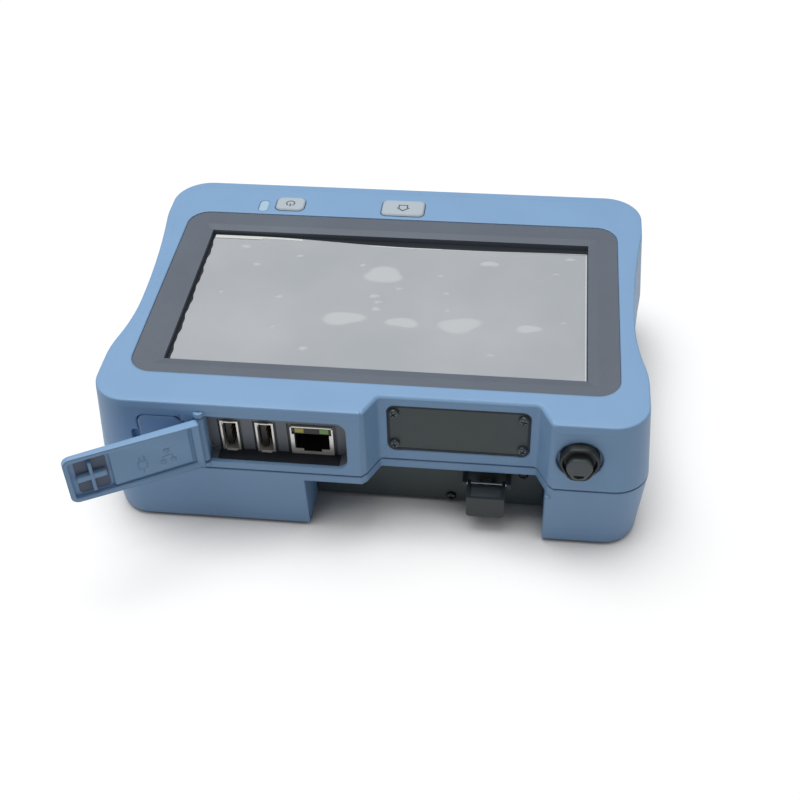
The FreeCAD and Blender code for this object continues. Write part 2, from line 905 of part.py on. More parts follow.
def cavity_shape(sketch):
    """Inside of the front shell, stepping around the set-back."""
    half = S.face_half - S.wall
    points = mirrored(case_side(
        half, S.waist_half - S.wall, port_back, far_y - S.wall,
        S.inner_corner, S.inner_corner + S.wall))
    step_left = S.notch_left - S.notch_wall + S.notch_slant / 2
    step_right = S.notch_right + S.notch_wall - S.notch_slant / 2
    points += [
        (step_left, port_back), (step_left, notch_inside),
        (step_right, notch_inside), (step_right, port_back),
    ]
    outline(sketch, points)


def rear_cavity_shape(sketch):
    """Inside of the rear shell, stepping around the bay."""
    inward = S.wall + S.base_draft
    half = S.face_half + S.side_lean - inward
    near = near_y - S.near_lean + inward
    points = mirrored(case_side(
        half, S.waist_half + S.side_lean - inward, near, far_y + S.far_lean - inward,
        S.inner_corner, S.inner_corner + S.wall))
    points += [
        (S.bay_left - S.wall, near), (S.bay_left - S.wall, bay_wall_inside),
        (S.bay_right + S.wall, bay_wall_inside), (S.bay_right + S.wall, near),
    ]
    outline(sketch, points)


def battery_shape(grown):
    """Outline of the battery pack, grown all round."""
    return rectangle(S.battery_left - grown, S.battery_near - grown,
                     S.battery_right + grown, S.battery_far + grown)


def door_shape(shrunk, corner):
    return rectangle(door_left + shrunk, door_near + shrunk,
                     door_right - shrunk, door_far - shrunk, corner)


# ---------------------------------------------------------------- shells


def notch_rim(edge):
    """Edges of the face around the set-back, short of the rounded outer edge."""
    bounds = edge.BoundBox
    return (
        close(bounds.ZMin, face_z) and close(bounds.ZMax, face_z)
        and bounds.YMax < notch_back.mm + 0.1
        and bounds.YMin > (near_y + S.face_round).mm - 0.1
        and bounds.XMin > (S.notch_left - S.notch_round).mm
        and bounds.XMax < (S.notch_right + S.notch_round).mm
    )


def make_front_shell():
    body = new_body("front_shell")
    sections = [
        case_section(body, seam_high, S.side_lean, S.near_lean, S.far_lean),
        case_section(body, face_z - S.face_round, zero, zero, zero),
    ]
    for inset, drop in rounding_steps(S.face_round):
        sections.append(case_section(body, face_z - drop, zero, zero, zero, inset))
    loft(body, sections)
    cut(body, "XY", seam_high, face_z, notch_shape())
    dress(body, "Fillet", S.notch_round, upright(
        (S.notch_left + S.notch_slant, notch_back),
        (S.notch_right - S.notch_slant, notch_back)))
    dress(body, "Chamfer", S.notch_lip * 0.6, notch_rim)
    cut(body, "XY", seam_high, ceiling_z, cavity_shape)

    # columns for the case screws, and short posts for the display and the key board
    add(body, "XY", seam_low, ceiling_z + ROOTED, circles(S.case_boss, *case_screws_at))
    cut(body, "XY", seam_low, S.case_seat + S.case_screw_length + PAST,
        circles(S.case_screw + S.screw_play, *case_screws_at))
    add(body, "XY", panel_top, ceiling_z + ROOTED, circles(S.post_radius, *display_screws_at))
    add(body, "XY", keypad_top, ceiling_z + ROOTED, circles(S.post_radius, *keypad_screws_at))
    for level, places in ((panel_top, display_screws_at), (keypad_top, keypad_screws_at)):
        cut(body, "XY", level, ceiling_z + S.face_wall / 3,
            circles(S.small_screw + S.screw_play, *places))

    # display window, with a shallow seat for the bezel around it
    cut(body, "XY", bezel_seat, face_z, rectangle(
        -S.bezel_half - S.bezel_fit, S.bezel_near - S.bezel_fit,
        S.bezel_half + S.bezel_fit, S.bezel_far + S.bezel_fit, S.bezel_corner + S.bezel_fit))
    cut(body, "XY", ceiling_z - PAST, bezel_seat, rectangle(
        -S.glass_half - S.glass_fit, S.glass_near - S.glass_fit,
        S.glass_half + S.glass_fit, S.glass_far + S.glass_fit))

    # key and lamp openings
    cut(body, "XY", ceiling_z - PAST, face_z,
        key_shape(power_key, S.key_gap), key_shape(home_key, S.key_gap), lamp_shape)

    # port window through the thick part of the connector wall, with the flap's hinge
    cut(body, "XZ", near_y - PAST * 2, port_back + PAST, window_shape)
    flap_axis = (S.flap_pivot_x, S.flap_pivot_y)
    add(body, "XY", S.window_high + S.ear_step, S.window_high + S.ear_step + S.ear_thick,
        circles(S.ear_radius, flap_axis))
    add(body, "XY", S.window_low - S.ear_step - S.ear_thick, S.window_low - S.ear_step,
        circles(S.ear_radius, flap_axis))
    cut(body, "XY", S.window_low, S.window_high,
        circles(S.barrel_radius + S.barrel_play, flap_axis))
    cut(body, "XY", pin_low, pin_high, circles(S.hinge_pin, flap_axis))

    # pocket, hinge bore and through hole of the charging jack
    cut(body, "XZ", near_y - PAST * 2, cover_floor, cover_shape(
        S.cover_gap, S.cover_pivot_x + S.cover_barrel + S.cover_gap))
    cut(body, "XZ", near_y - PAST * 2, cover_floor, rectangle(
        S.cover_left - S.cover_notch, S.cover_low - S.cover_gap,
        S.cover_left, S.jack_z, S.cover_notch / 2))
    cut(body, "XY", cover_pin_low, cover_pin_high,
        circles(S.cover_pin, (S.cover_pivot_x, S.cover_pivot_y)))
    cut(body, "XZ", cover_floor - PAST, port_back + PAST,
        circles(S.jack_radius + S.screw_play, (S.jack_x, S.jack_z)))

    # seat, screw posts and opening of the option plate
    cut(body, "XZ", notch_back - PAST, option_seat, rectangle(
        S.option_left - S.bezel_fit, S.option_low - S.bezel_fit,
        S.option_right + S.bezel_fit, S.option_high + S.bezel_fit,
        S.option_corner + S.bezel_fit))
    add(body, "XZ", notch_inside - ROOTED, notch_inside + S.option_post,
        circles(S.post_radius, *option_screws_at))
    cut(body, "XZ", option_seat - PAST, notch_inside + S.option_post - PAST,
        circles(S.small_screw + S.screw_play, *option_screws_at))
    cut(body, "XZ", option_seat - PAST, notch_inside + PAST, rectangle(
        option_x - S.option_open_half, S.option_open_low,
        option_x + S.option_open_half, S.option_open_high, S.option_corner))

    # stylus: a dished mouth and the hole behind it
    cut(body, "XZ", near_y - PAST * 2, near_y + S.dish_depth,
        circles(S.dish_radius, (S.stylus_x, S.stylus_z)))
    cut(body, "XZ", near_y, port_back + PAST,
        circles(S.stylus_radius + S.stylus_play, (S.stylus_x, S.stylus_z)))
    return body


def make_rear_shell():
    body = new_body("rear_shell")
    side, near, far = (
        lean - S.base_draft for lean in (S.side_lean, S.near_lean, S.far_lean))
    sections = [
        case_section(body, base_z + drop, side, near, far, inset)
        for inset, drop in reversed(list(rounding_steps(S.base_round)))
    ]
    sections.append(case_section(body, base_z + S.base_round, side, near, far))
    sections.append(case_section(body, seam_low, S.side_lean, S.near_lean, S.far_lean))
    loft(body, sections)
    cut(body, "XY", S.bay_ceiling - PAST, seam_low, notch_shape())
    cut(body, "XY", base_z - PAST, S.bay_ceiling, rectangle(
        S.bay_left, near_y - PAST * 5, S.bay_right, S.bay_back))
    cut(body, "XY", floor_z, seam_low, rear_cavity_shape)

    # walls and posts that stand on the floor
    add(body, "XY", floor_z - ROOTED, base_z + S.battery_tall,
        battery_shape(S.battery_fit + S.rib), battery_shape(S.battery_fit))
    add(body, "XY", floor_z - ROOTED, seam_low, circles(S.case_boss, *case_screws_at))
    add(body, "XY", floor_z - ROOTED, chassis_bottom, circles(S.chassis_post, *chassis_screws_at))
    add(body, "XY", floor_z - ROOTED, floor_z + S.small_screw_length,
        circles(S.post_radius, *door_screws_at))
    stand_edge = S.stand_half + S.stand_gap
    add(body, "XY", floor_z - ROOTED, stand_ceiling + S.wall, rectangle(
        -stand_edge - S.stand_lug, S.stand_near - S.stand_gap - S.wall,
        stand_edge + S.stand_lug, S.stand_far + S.stand_gap + S.wall))

    # screw holes from below and above
    cut(body, "XY", base_z - PAST, seam_low, circles(S.case_screw + S.screw_play, *case_screws_at))
    cut(body, "XY", base_z - PAST, S.case_seat,
        circles(S.case_screw_head + S.screw_play * 4, *case_screws_at))
    cut(body, "XY", chassis_bottom - S.small_screw_length, chassis_bottom,
        circles(S.small_screw + S.screw_play, *chassis_screws_at))

    # battery opening and the seat of its door
    cut(body, "XY", base_z - PAST, door_top, door_shape(zero, S.option_corner))
    cut(body, "XY", base_z - PAST, floor_z + PAST, battery_shape(S.battery_fit))
    cut(body, "XY", base_z - PAST, floor_z + S.small_screw_length - PAST,
        circles(S.small_screw + S.screw_play, *door_screws_at))

    # recess of the tilt stand, with a finger notch and the bores of its pins
    cut(body, "XY", base_z - PAST, stand_ceiling, rectangle(
        -stand_edge, S.stand_near - S.stand_gap, stand_edge, S.stand_far + S.stand_gap))
    cut(body, "XY", base_z - PAST, base_z + S.stand_thick, rectangle(
        -S.stand_notch, S.stand_far, S.stand_notch, S.stand_far + S.stand_gap + S.wall * 2))
    pin_reach = stand_edge + S.stand_lug - PAST
    cut(body, "YZ", -pin_reach, pin_reach, circles(S.stand_pin, (S.stand_pivot_y, stand_pivot_z)))

    # seats of the feet, and the holes of the optical port
    cut(body, "XY", base_z - PAST, base_z + S.foot_sink, circles(S.foot_radius, *feet_at))
    cut(body, "XZ", S.bay_back - PAST, bay_wall_inside + PAST,
        circles(S.adapter_neck, (S.optic_x, S.optic_z)))
    cut(body, "XZ", S.bay_back - PAST, bay_wall_inside + PAST,
        circles(S.small_screw + S.screw_play, *optic_screws_at))
    return body


def make_housing_seal():
    body = new_body("housing_seal")
    sketch = case_section(body, seam_low, S.side_lean, S.near_lean, S.far_lean, S.seal_inset)
    feature = body.newObject("PartDesign::Pad", "housing_seal_pad")
    feature.Profile = sketch
    feature.Length = S.seam_gap.mm
    feature.setExpression("Length", S.seam_gap.formula)
    settle(body, feature)
    cut(body, "XY", seam_low - PAST, seam_high, notch_shape(S.seal_inset))
    cut(body, "XY", seam_low - PAST, seam_high, cavity_shape)


# ---------------------------------------------------------------- display


def screen_shape(grown):
    return rectangle(-S.screen_half - grown, S.screen_near - grown,
                     S.screen_half + grown, S.screen_far + grown)


def make_display_bezel():
    body = new_body("display_bezel")
    add(body, "XY", bezel_seat, bezel_top, rectangle(
        -S.bezel_half, S.bezel_near, S.bezel_half, S.bezel_far, S.bezel_corner))
    add(body, "XY", glass_top, bezel_seat, rectangle(
        -S.glass_half, S.glass_near, S.glass_half, S.glass_far))
    cut(body, "XY", glass_top - PAST, bezel_top, screen_shape(zero))
    lower = new_sketch(body, "XY", bezel_top - S.screen_slope_drop)
    screen_shape(zero)(lower)
    upper = new_sketch(body, "XY", bezel_top)
    screen_shape(S.screen_slope)(upper)
    loft(body, [lower, upper], "Subtractive")


def make_display():
    body = new_body("touch_panel")
    add(body, "XY", glass_bottom, glass_top, rectangle(
        -S.glass_half, S.glass_near, S.glass_half, S.glass_far))

    body = new_body("screen_film")
    add(body, "XY", glass_top, glass_top + S.film_thick, screen_shape(-S.film_margin))

    body = new_body("display_gasket")
    add(body, "XY", panel_top, ceiling_z,
        rectangle(-S.panel_half, S.panel_near, S.panel_half, S.panel_far),
        rectangle(-S.glass_half - S.glass_fit, S.glass_near - S.glass_fit,
                  S.glass_half + S.glass_fit, S.glass_far + S.glass_fit))

    body = new_body("lcd_module")
    add(body, "XY", panel_bottom, panel_top,
        rectangle(-S.panel_half, S.panel_near, S.panel_half, S.panel_far))
    reach = S.ear_x + S.post_radius
    for y in (S.ear_near, S.ear_far):
        add(body, "XY", panel_top - S.ear_sheet, panel_top,
            rectangle(-reach, y - S.post_radius, reach, y + S.post_radius))
    cut(body, "XY", panel_bottom - PAST, panel_top,
        circles(S.small_screw + S.screw_play, *display_screws_at))
    cut(body, "XY", panel_bottom - PAST, panel_bottom + S.panel_step, rectangle(
        -S.panel_half + S.panel_rim, S.panel_near + S.panel_rim,
        S.panel_half - S.panel_rim, S.panel_far - S.panel_rim))


# ---------------------------------------------------------------- keys and lamp


def make_key(name, key):
    """A key cap held behind the face by a flange, with a stem over its switch."""
    body = new_body(name)
    x, y = key[:2]
    flange_top = ceiling_z - S.key_under
    add(body, "XY", flange_top - S.key_flange, face_z + S.key_proud, key_shape(key, zero))
    dress(body, "Chamfer", S.key_crown, at_level("Z", face_z + S.key_proud))
    add(body, "XY", flange_top - S.key_flange, flange_top, key_shape(key, S.key_flange))
    add(body, "XY", flange_top - S.key_flange - S.key_stem, flange_top - S.key_flange,
        circles(S.post_radius, (x, y)))


def make_keypad():
    body = new_body("status_lamp")
    add(body, "XY", ceiling_z - PAST, face_z, lamp_shape)
    dress(body, "Chamfer", S.ear_step, at_level("Z", face_z))

    body = new_body("keypad_board")
    add(body, "XY", keypad_top - S.board_thick, keypad_top, rectangle(
        S.keypad_left, S.keypad_near, S.keypad_right, S.keypad_far, 1))
    for key in (power_key, home_key):
        x, y = key[:2]
        add(body, "XY", keypad_top, keypad_top + S.switch_body,
            centred(x, y, S.switch_wide, S.switch_wide))
        add(body, "XY", keypad_top + S.switch_body, keypad_top + S.switch_top,
            circles(S.small_screw_head, (x, y)))
    add(body, "XY", keypad_top, keypad_top + S.switch_body,
        centred(S.lamp_x, S.lamp_y, S.lamp_wide, S.lamp_wide))
    cut(body, "XY", keypad_top - S.board_thick - PAST, keypad_top,
        circles(S.small_screw + S.screw_play, *keypad_screws_at))


# ---------------------------------------------------------------- ports


def ring_box(body, x, z, wide, tall, near, far, wall):
    """A rectangular sheet-metal tube along Y."""
    add(body, "XZ", near, far, centred(x, z, wide, tall),
        centred(x, z, wide - wall * 2, tall - wall * 2))


def make_port_panel():
    body = new_body("port_panel")
    add(body, "XZ", port_back, port_back + S.plate_thick, rectangle(
        S.window_left - S.panel_lap, S.window_low - S.panel_lap,
        S.window_right + S.panel_lap, S.window_high + S.panel_lap, 1))
    usb_z = S.board_top + S.usb_tall / 2
    ethernet_z = S.board_top + S.ethernet_tall / 2
    frame = S.plate_frame * 2
    cut(body, "XZ", port_back - PAST, port_back + S.plate_frame,
        centred(S.usb_left, usb_z, S.usb_wide + frame, S.usb_tall + frame / 2),
        centred(S.usb_right, usb_z, S.usb_wide + frame, S.usb_tall + frame / 2),
        centred(S.ethernet_x, ethernet_z, S.ethernet_wide + frame, S.ethernet_tall + frame / 2))
    cut(body, "XZ", port_back - PAST, port_back + S.plate_thick + PAST,
        centred(S.usb_left, usb_z, S.usb_wide, S.usb_tall),
        centred(S.usb_right, usb_z, S.usb_wide, S.usb_tall),
        centred(S.ethernet_x, ethernet_z, S.ethernet_wide, S.ethernet_tall))


def make_usb(side, x):
    """An upright USB-A socket: sheet shell with a flared mouth, and the tongue inside it."""
    middle = S.board_top + S.usb_tall / 2
    mouth = port_back - S.port_proud
    back = mouth + S.usb_deep
    body = new_body(f"usb_shell_{side}")
    ring_box(body, x, middle, S.usb_wide, S.usb_tall, mouth, back, S.usb_sheet)
    add(body, "XZ", back - S.usb_sheet, back, centred(x, middle, S.usb_wide, S.usb_tall))
    ring_box(body, x, middle, S.usb_wide + S.usb_flare * 2, S.usb_tall + S.usb_flare * 2,
             mouth, mouth + S.usb_sheet, S.usb_sheet + S.usb_flare)

    body = new_body(f"usb_tongue_{side}")
    inner_wide = S.usb_wide - S.usb_sheet * 2
    inner_tall = S.usb_tall - S.usb_sheet * 2
    root = back - S.usb_sheet
    add(body, "XZ", root - S.tongue_root, root, centred(x, middle, inner_wide, inner_tall))
    add(body, "XZ", mouth + S.tongue_inset, root - S.tongue_root + ROOTED, centred(
        x - S.tongue_shift, middle, S.tongue_thick, inner_tall - S.tongue_margin * 2))


def make_ethernet():
    """An eight-way modular socket: shield, moulding with its two lamps, and contact wires."""
    middle = S.board_top + S.ethernet_tall / 2
    mouth = port_back - S.port_proud
    back = mouth + S.ethernet_deep
    wide = S.ethernet_wide - S.ethernet_sheet * 2
    tall = S.ethernet_tall - S.ethernet_sheet * 2
    body = new_body("ethernet_shield")
    ring_box(body, S.ethernet_x, middle, S.ethernet_wide, S.ethernet_tall, mouth, back,
             S.ethernet_sheet)
    add(body, "XZ", back - S.ethernet_sheet, back,
        centred(S.ethernet_x, middle, S.ethernet_wide, S.ethernet_tall))

    body = new_body("ethernet_body")
    front = mouth + S.ethernet_sheet
    rear = back - S.ethernet_sheet
    add(body, "XZ", front, rear, centred(S.ethernet_x, middle, wide, tall))
    socket_low = S.board_top + S.ethernet_latch
    cut(body, "XZ", front, front + S.ethernet_depth, rectangle(
        S.ethernet_x - S.ethernet_mouth / 2, socket_low,
        S.ethernet_x + S.ethernet_mouth / 2, socket_low + S.ethernet_plug))
    cut(body, "XZ", front, front + S.ethernet_depth, rectangle(
        S.ethernet_x - S.ethernet_key / 2, S.board_top + S.ethernet_sheet * 3,
        S.ethernet_x + S.ethernet_key / 2, socket_low + ROOTED))
    lamp_z = socket_low + S.ethernet_plug + S.link_tall / 2 + S.ethernet_sheet
    lamps_at = [(S.ethernet_x + (S.ethernet_mouth - S.link_wide) / 2 * side, lamp_z)
                for side in (-1, 1)]
    cut(body, "XZ", front, front + S.link_deep,
        *[centred(x, z, S.link_wide, S.link_tall) for x, z in lamps_at])

    lamps = [
        box(f"link_lamp_{n}", x - S.link_wide / 2, x + S.link_wide / 2, front,
            front + S.link_deep, z - S.link_tall / 2, z + S.link_tall / 2)
        for n, (x, z) in enumerate(lamps_at)
    ]
    group("link_lamps", lamps)

    wires = []
    for n in range(8):
        x = S.ethernet_x + S.contact_pitch * (n - 3.5) - S.contact_wide / 2
        wires.append(primitive(
            "Box", f"contact_{n}", (x, front + S.contact_inset, socket_low + S.ethernet_plug),
            Rotation(Vector(1, 0, 0), -14),
            Length=S.contact_wide, Width=S.contact_long, Height=S.contact_wide))
    group("ethernet_contacts", wires)


def make_port_flap():
    """The moulded flap, drawn shut with its pivot at the origin, then swung open."""
    body = doc.addObject("PartDesign::Body", "port_flap")
    body.Label = "port_flap"
    tall = S.flap_high - S.flap_low
    end = S.flap_start + S.flap_length
    add(body, "XY", zero, tall, rectangle(S.flap_start, S.flap_outer, end, S.flap_inner))
    dress(body, "Fillet", S.flap_corner, lambda edge: (
        close(edge.BoundBox.XMin, end) and close(edge.BoundBox.XMax, end)
        and edge.BoundBox.ZLength < 0.01))
    dress(body, "Chamfer", S.flap_edge, at_level("Y", S.flap_outer))
    add(body, "XY", zero, tall, circles(S.barrel_radius, (zero, zero)))
    root = S.flap_start + S.flap_web
    add(body, "XY", zero, tall, polygon(
        (zero, zero), (root, S.flap_outer + S.flap_edge),
        (root, S.barrel_radius + S.ear_step), (S.barrel_radius / 2, S.barrel_radius * 0.85)))
    cut(body, "XY", zero - PAST, tall, circles(S.hinge_pin + S.pin_play, (zero, zero)))

    # inner side: a groove around the raised pad, then a sunk bay with the cross latch
    groove_floor = S.flap_inner - S.flap_groove
    bay_start = S.flap_start + S.flap_pad
    cut(body, "XZ", groove_floor, S.flap_inner, rectangle(
        S.flap_start + S.flap_rim, S.flap_rim_low,
        S.flap_start + S.flap_rim + S.flap_groove, tall - S.flap_rim_low))
    cut(body, "XZ", groove_floor, S.flap_inner, rectangle(
        S.flap_start + S.flap_rim, S.flap_rim_low, bay_start, S.flap_rim_low + S.flap_groove))
    bay_floor = S.flap_inner - S.flap_sink
    cut(body, "XZ", bay_floor, S.flap_inner, rectangle(
        bay_start, S.flap_rim_low, end - S.flap_rim_low, tall - S.flap_rim_low, 1))
    middle_x = (bay_start + end - S.flap_rim_low) / 2
    add(body, "XZ", bay_floor - ROOTED / 2, S.flap_inner + S.latch_proud / 2,
        centred(middle_x, tall / 2, S.latch_wide, S.latch_thick * 2))
    add(body, "XZ", bay_floor - ROOTED / 2, S.flap_inner + S.latch_proud,
        centred(middle_x, tall / 2, S.latch_thick, S.latch_tall))
    body.Placement = Placement(Vector(0, 0, 0), Rotation(Vector(0, 0, 1), -S.flap_swing.mm))
    for axis, size in zip("xyz", (S.flap_pivot_x, S.flap_pivot_y + S.case_shift, S.flap_low)):
        body.setExpression(f"Placement.Base.{axis}", size.formula)
    body.setExpression("Placement.Rotation.Angle", (-S.flap_swing).formula)

    node_of(primitive("Cylinder", "flap_hinge_pin",
                      (S.flap_pivot_x, S.flap_pivot_y, pin_low),
                      Radius=S.hinge_pin, Height=pin_high - pin_low), "flap_hinge_pin")


def make_charging_jack():
    body = new_body("dc_cover")
    add(body, "XZ", cover_outer, cover_inner, cover_shape(zero, S.cover_pivot_x))
    add(body, "XY", cover_barrel_low, cover_barrel_high,
        circles(S.cover_barrel, (S.cover_pivot_x, S.cover_pivot_y)))
    cut(body, "XY", S.cover_low - PAST, S.cover_high + PAST,
        circles(S.cover_pin + S.pin_play, (S.cover_pivot_x, S.cover_pivot_y)))

    node_of(primitive("Cylinder", "dc_cover_pin",
                      (S.cover_pivot_x, S.cover_pivot_y, cover_pin_low),
                      Radius=S.cover_pin, Height=cover_pin_high - cover_pin_low),
            "dc_cover_pin")

    body = new_body("dc_jack")
    half = S.jack_body / 2
    add(body, "XZ", port_back, port_back + S.jack_deep, rectangle(
        S.jack_x - half, S.jack_z - half, S.jack_x + half, S.jack_z + half))
    add(body, "XZ", cover_floor + S.ear_step, port_back + PAST,
        circles(S.jack_radius, (S.jack_x, S.jack_z)))
    cut(body, "XZ", cover_floor - PAST, port_back + S.jack_depth,
        circles(S.jack_bore, (S.jack_x, S.jack_z)))
    add(body, "XZ", cover_floor + PAST, port_back + S.jack_depth + PAST,
        circles(S.jack_pin, (S.jack_x, S.jack_z)))


# ---------------------------------------------------------------- option plate and stylus


def make_option_plate():
    body = new_body("option_plate")
    add(body, "XZ", option_seat - S.option_thick, option_seat, rectangle(
        S.option_left, S.option_low, S.option_right, S.option_high, S.option_corner))
    dress(body, "Chamfer", S.ear_step, at_level("Y", option_seat - S.option_thick))
    cut(body, "XZ", option_seat - S.option_thick - PAST, option_seat + PAST,
        circles(S.small_screw + S.screw_play, *option_screws_at))


def knob_shape(half_wide, half_tall):
    """Shield-shaped outline of the stylus head: flat on top, narrowing below."""
    x, z = S.stylus_x, S.stylus_z
    return polygon(
        (x - half_wide * 0.5, z - half_tall), (x + half_wide * 0.5, z - half_tall),
        (x + half_wide * 0.95, z - half_tall * 0.1), (x + half_wide, z + half_tall * 0.3),
        (x + half_wide * 0.6, z + half_tall), (x - half_wide * 0.6, z + half_tall),
        (x - half_wide, z + half_tall * 0.3), (x - half_wide * 0.95, z - half_tall * 0.1))


def make_stylus():
    seat = near_y + S.dish_depth - S.cover_gap
    front = near_y - S.near_lean / 2 - S.head_proud
    body = new_body("stylus_head")
    inner = new_sketch(body, "XZ", seat)
    knob_shape(S.head_half, S.head_half * 0.95)(inner)
    outer = new_sketch(body, "XZ", front)
    knob_shape(S.head_half * 0.68, S.head_half * 0.85)(outer)
    loft(body, [inner, outer])
    cut(body, "XZ", front - PAST, front + S.head_slot, rectangle(
        S.stylus_x - S.slot_half, S.stylus_z - S.slot_low,
        S.stylus_x + S.slot_half, S.stylus_z - S.slot_high))

    barrel_end = seat + S.stylus_length
    node_of(primitive("Cylinder", "stylus_barrel", (S.stylus_x, barrel_end, S.stylus_z), FORWARD,
                      Radius=S.stylus_radius, Height=S.stylus_length), "stylus_barrel")
    node_of(primitive("Cone", "stylus_tip",
                      (S.stylus_x, barrel_end + S.stylus_tip, S.stylus_z), FORWARD,
                      Radius1=S.stylus_point, Radius2=S.stylus_radius * 0.7,
                      Height=S.stylus_tip), "stylus_tip")

    body = new_body("stylus_tube")
    bore = S.stylus_radius + S.stylus_play
    tube_end = barrel_end + S.stylus_tip + S.tube_spare
    add(body, "XZ", port_back, tube_end,
        circles(bore + S.tube_wall, (S.stylus_x, S.stylus_z)))
    for y in (S.chassis_post_near + S.tube_rest_in, S.chassis_post_far - S.tube_rest_in * 2):
        add(body, "XZ", y, y + S.wall, rectangle(
            S.stylus_x - bore, S.chassis_top, S.stylus_x + bore, S.stylus_z))
    cut(body, "XZ", port_back - PAST, tube_end - S.tube_wall,
        circles(bore, (S.stylus_x, S.stylus_z)))


# ---------------------------------------------------------------- optical port


def make_optical_port():
    at_axis = (S.optic_x, S.optic_z)
    plate_face = S.bay_back - S.optic_plate
    nose_end = plate_face - S.nose_length

    body = new_body("optical_port_plate")
    add(body, "XZ", plate_face, S.bay_back, rectangle(
        S.bay_left + S.panel_gap, base_z + S.panel_gap * 2,
        S.bay_right - S.panel_gap, S.bay_ceiling - S.panel_gap))
    lug_in = S.cap_half + S.cap_side_gap
    for low, high in ((-lug_in - S.cap_lug, -lug_in), (lug_in, lug_in + S.cap_lug)):
        add(body, "YZ", S.optic_x + low, S.optic_x + high, polygon(
            (plate_face + ROOTED, S.optic_z), (plate_face + ROOTED, S.cap_high),
            (S.cap_pivot_y - S.cap_pin * 2, S.cap_high),
            (S.cap_pivot_y - S.cap_pin * 2, S.cap_pivot_z - S.cap_pin * 2)))
    cut(body, "YZ", S.optic_x - lug_in - S.cap_lug - PAST, S.optic_x + lug_in + S.cap_lug + PAST,
        circles(S.cap_pin, (S.cap_pivot_y, S.cap_pivot_z)))
    cut(body, "XZ", plate_face - PAST, S.bay_back + PAST, circles(S.adapter_neck, at_axis))
    cut(body, "XZ", plate_face - PAST, S.bay_back + PAST,
        circles(S.small_screw + S.screw_play, *optic_screws_at))

    body = new_body("fibre_adapter")
    add(body, "XZ", nose_end, plate_face, circles(S.nose_radius, at_axis))
    add(body, "XZ", plate_face, bay_wall_inside, circles(S.adapter_neck, at_axis))
    cut(body, "XZ", nose_end - PAST, nose_end + S.adapter_mouth,
        circles(S.adapter_bore, at_axis))
    cut(body, "XZ", nose_end - PAST, bay_wall_inside + PAST, circles(S.sleeve_radius, at_axis))
    cut(body, "XZ", nose_end - PAST, nose_end + S.adapter_key_deep, rectangle(
        S.optic_x - S.adapter_key / 2, S.optic_z + S.adapter_bore * 0.8,
        S.optic_x + S.adapter_key / 2, S.optic_z + S.nose_radius + PAST))

    body = new_body("ceramic_sleeve")
    add(body, "XZ", nose_end + S.adapter_mouth - S.sleeve_proud, bay_wall_inside,
        circles(S.sleeve_radius, at_axis), circles(S.ferrule_radius, at_axis))

    body = new_body("dust_cap")
    low, high = S.optic_x - S.cap_half, S.optic_x + S.cap_half
    pin_back = S.cap_pivot_y + S.cap_pin * 2
    add(body, "YZ", low, high, polygon(
        (S.cap_front, S.cap_low), (S.cap_pivot_y - S.cap_pin, S.cap_low),
        (pin_back, S.cap_pivot_z - S.cap_pin * 2), (pin_back, S.cap_high),
        (S.cap_front, S.cap_high)))
    dress(body, "Fillet", S.cap_pin * 2, lambda edge: (
        edge.BoundBox.XLength > S.cap_half.mm
        and edge.BoundBox.YMax > pin_back.mm - 0.1 and edge.BoundBox.ZMax > S.cap_pivot_z.mm))
    dress(body, "Fillet", S.option_corner / 2, lambda edge: (
        edge.BoundBox.XLength < 0.01 and edge.BoundBox.ZMax < S.cap_low.mm + 0.01))
    hollow = S.cap_half - S.cap_wall
    cut(body, "XY", S.cap_low - PAST, S.cap_high - S.cap_sink - S.cap_wall, rectangle(
        S.optic_x - hollow, S.cap_front + S.cap_wall, S.optic_x + hollow, pin_back + PAST))
    cut(body, "XY", S.cap_high - S.cap_sink, S.cap_high, rectangle(
        S.optic_x - hollow, S.cap_front + S.cap_wall, S.optic_x + hollow, pin_back + PAST))
    cut(body, "XY", S.cap_low, S.cap_high, rectangle(
        S.optic_x - hollow, S.cap_pivot_y - S.cap_pin * 2, S.optic_x + hollow, pin_back + PAST))
    cut(body, "YZ", low - PAST, high + PAST,
        circles(S.cap_pin + S.pin_play, (S.cap_pivot_y, S.cap_pivot_z)))

    pin_half = lug_in + S.cap_lug
    node_of(primitive("Cylinder", "dust_cap_pin",
                      (S.optic_x - pin_half, S.cap_pivot_y, S.cap_pivot_z), ACROSS,
                      Radius=S.cap_pin, Height=pin_half * 2), "dust_cap_pin")


# ---------------------------------------------------------------- inside


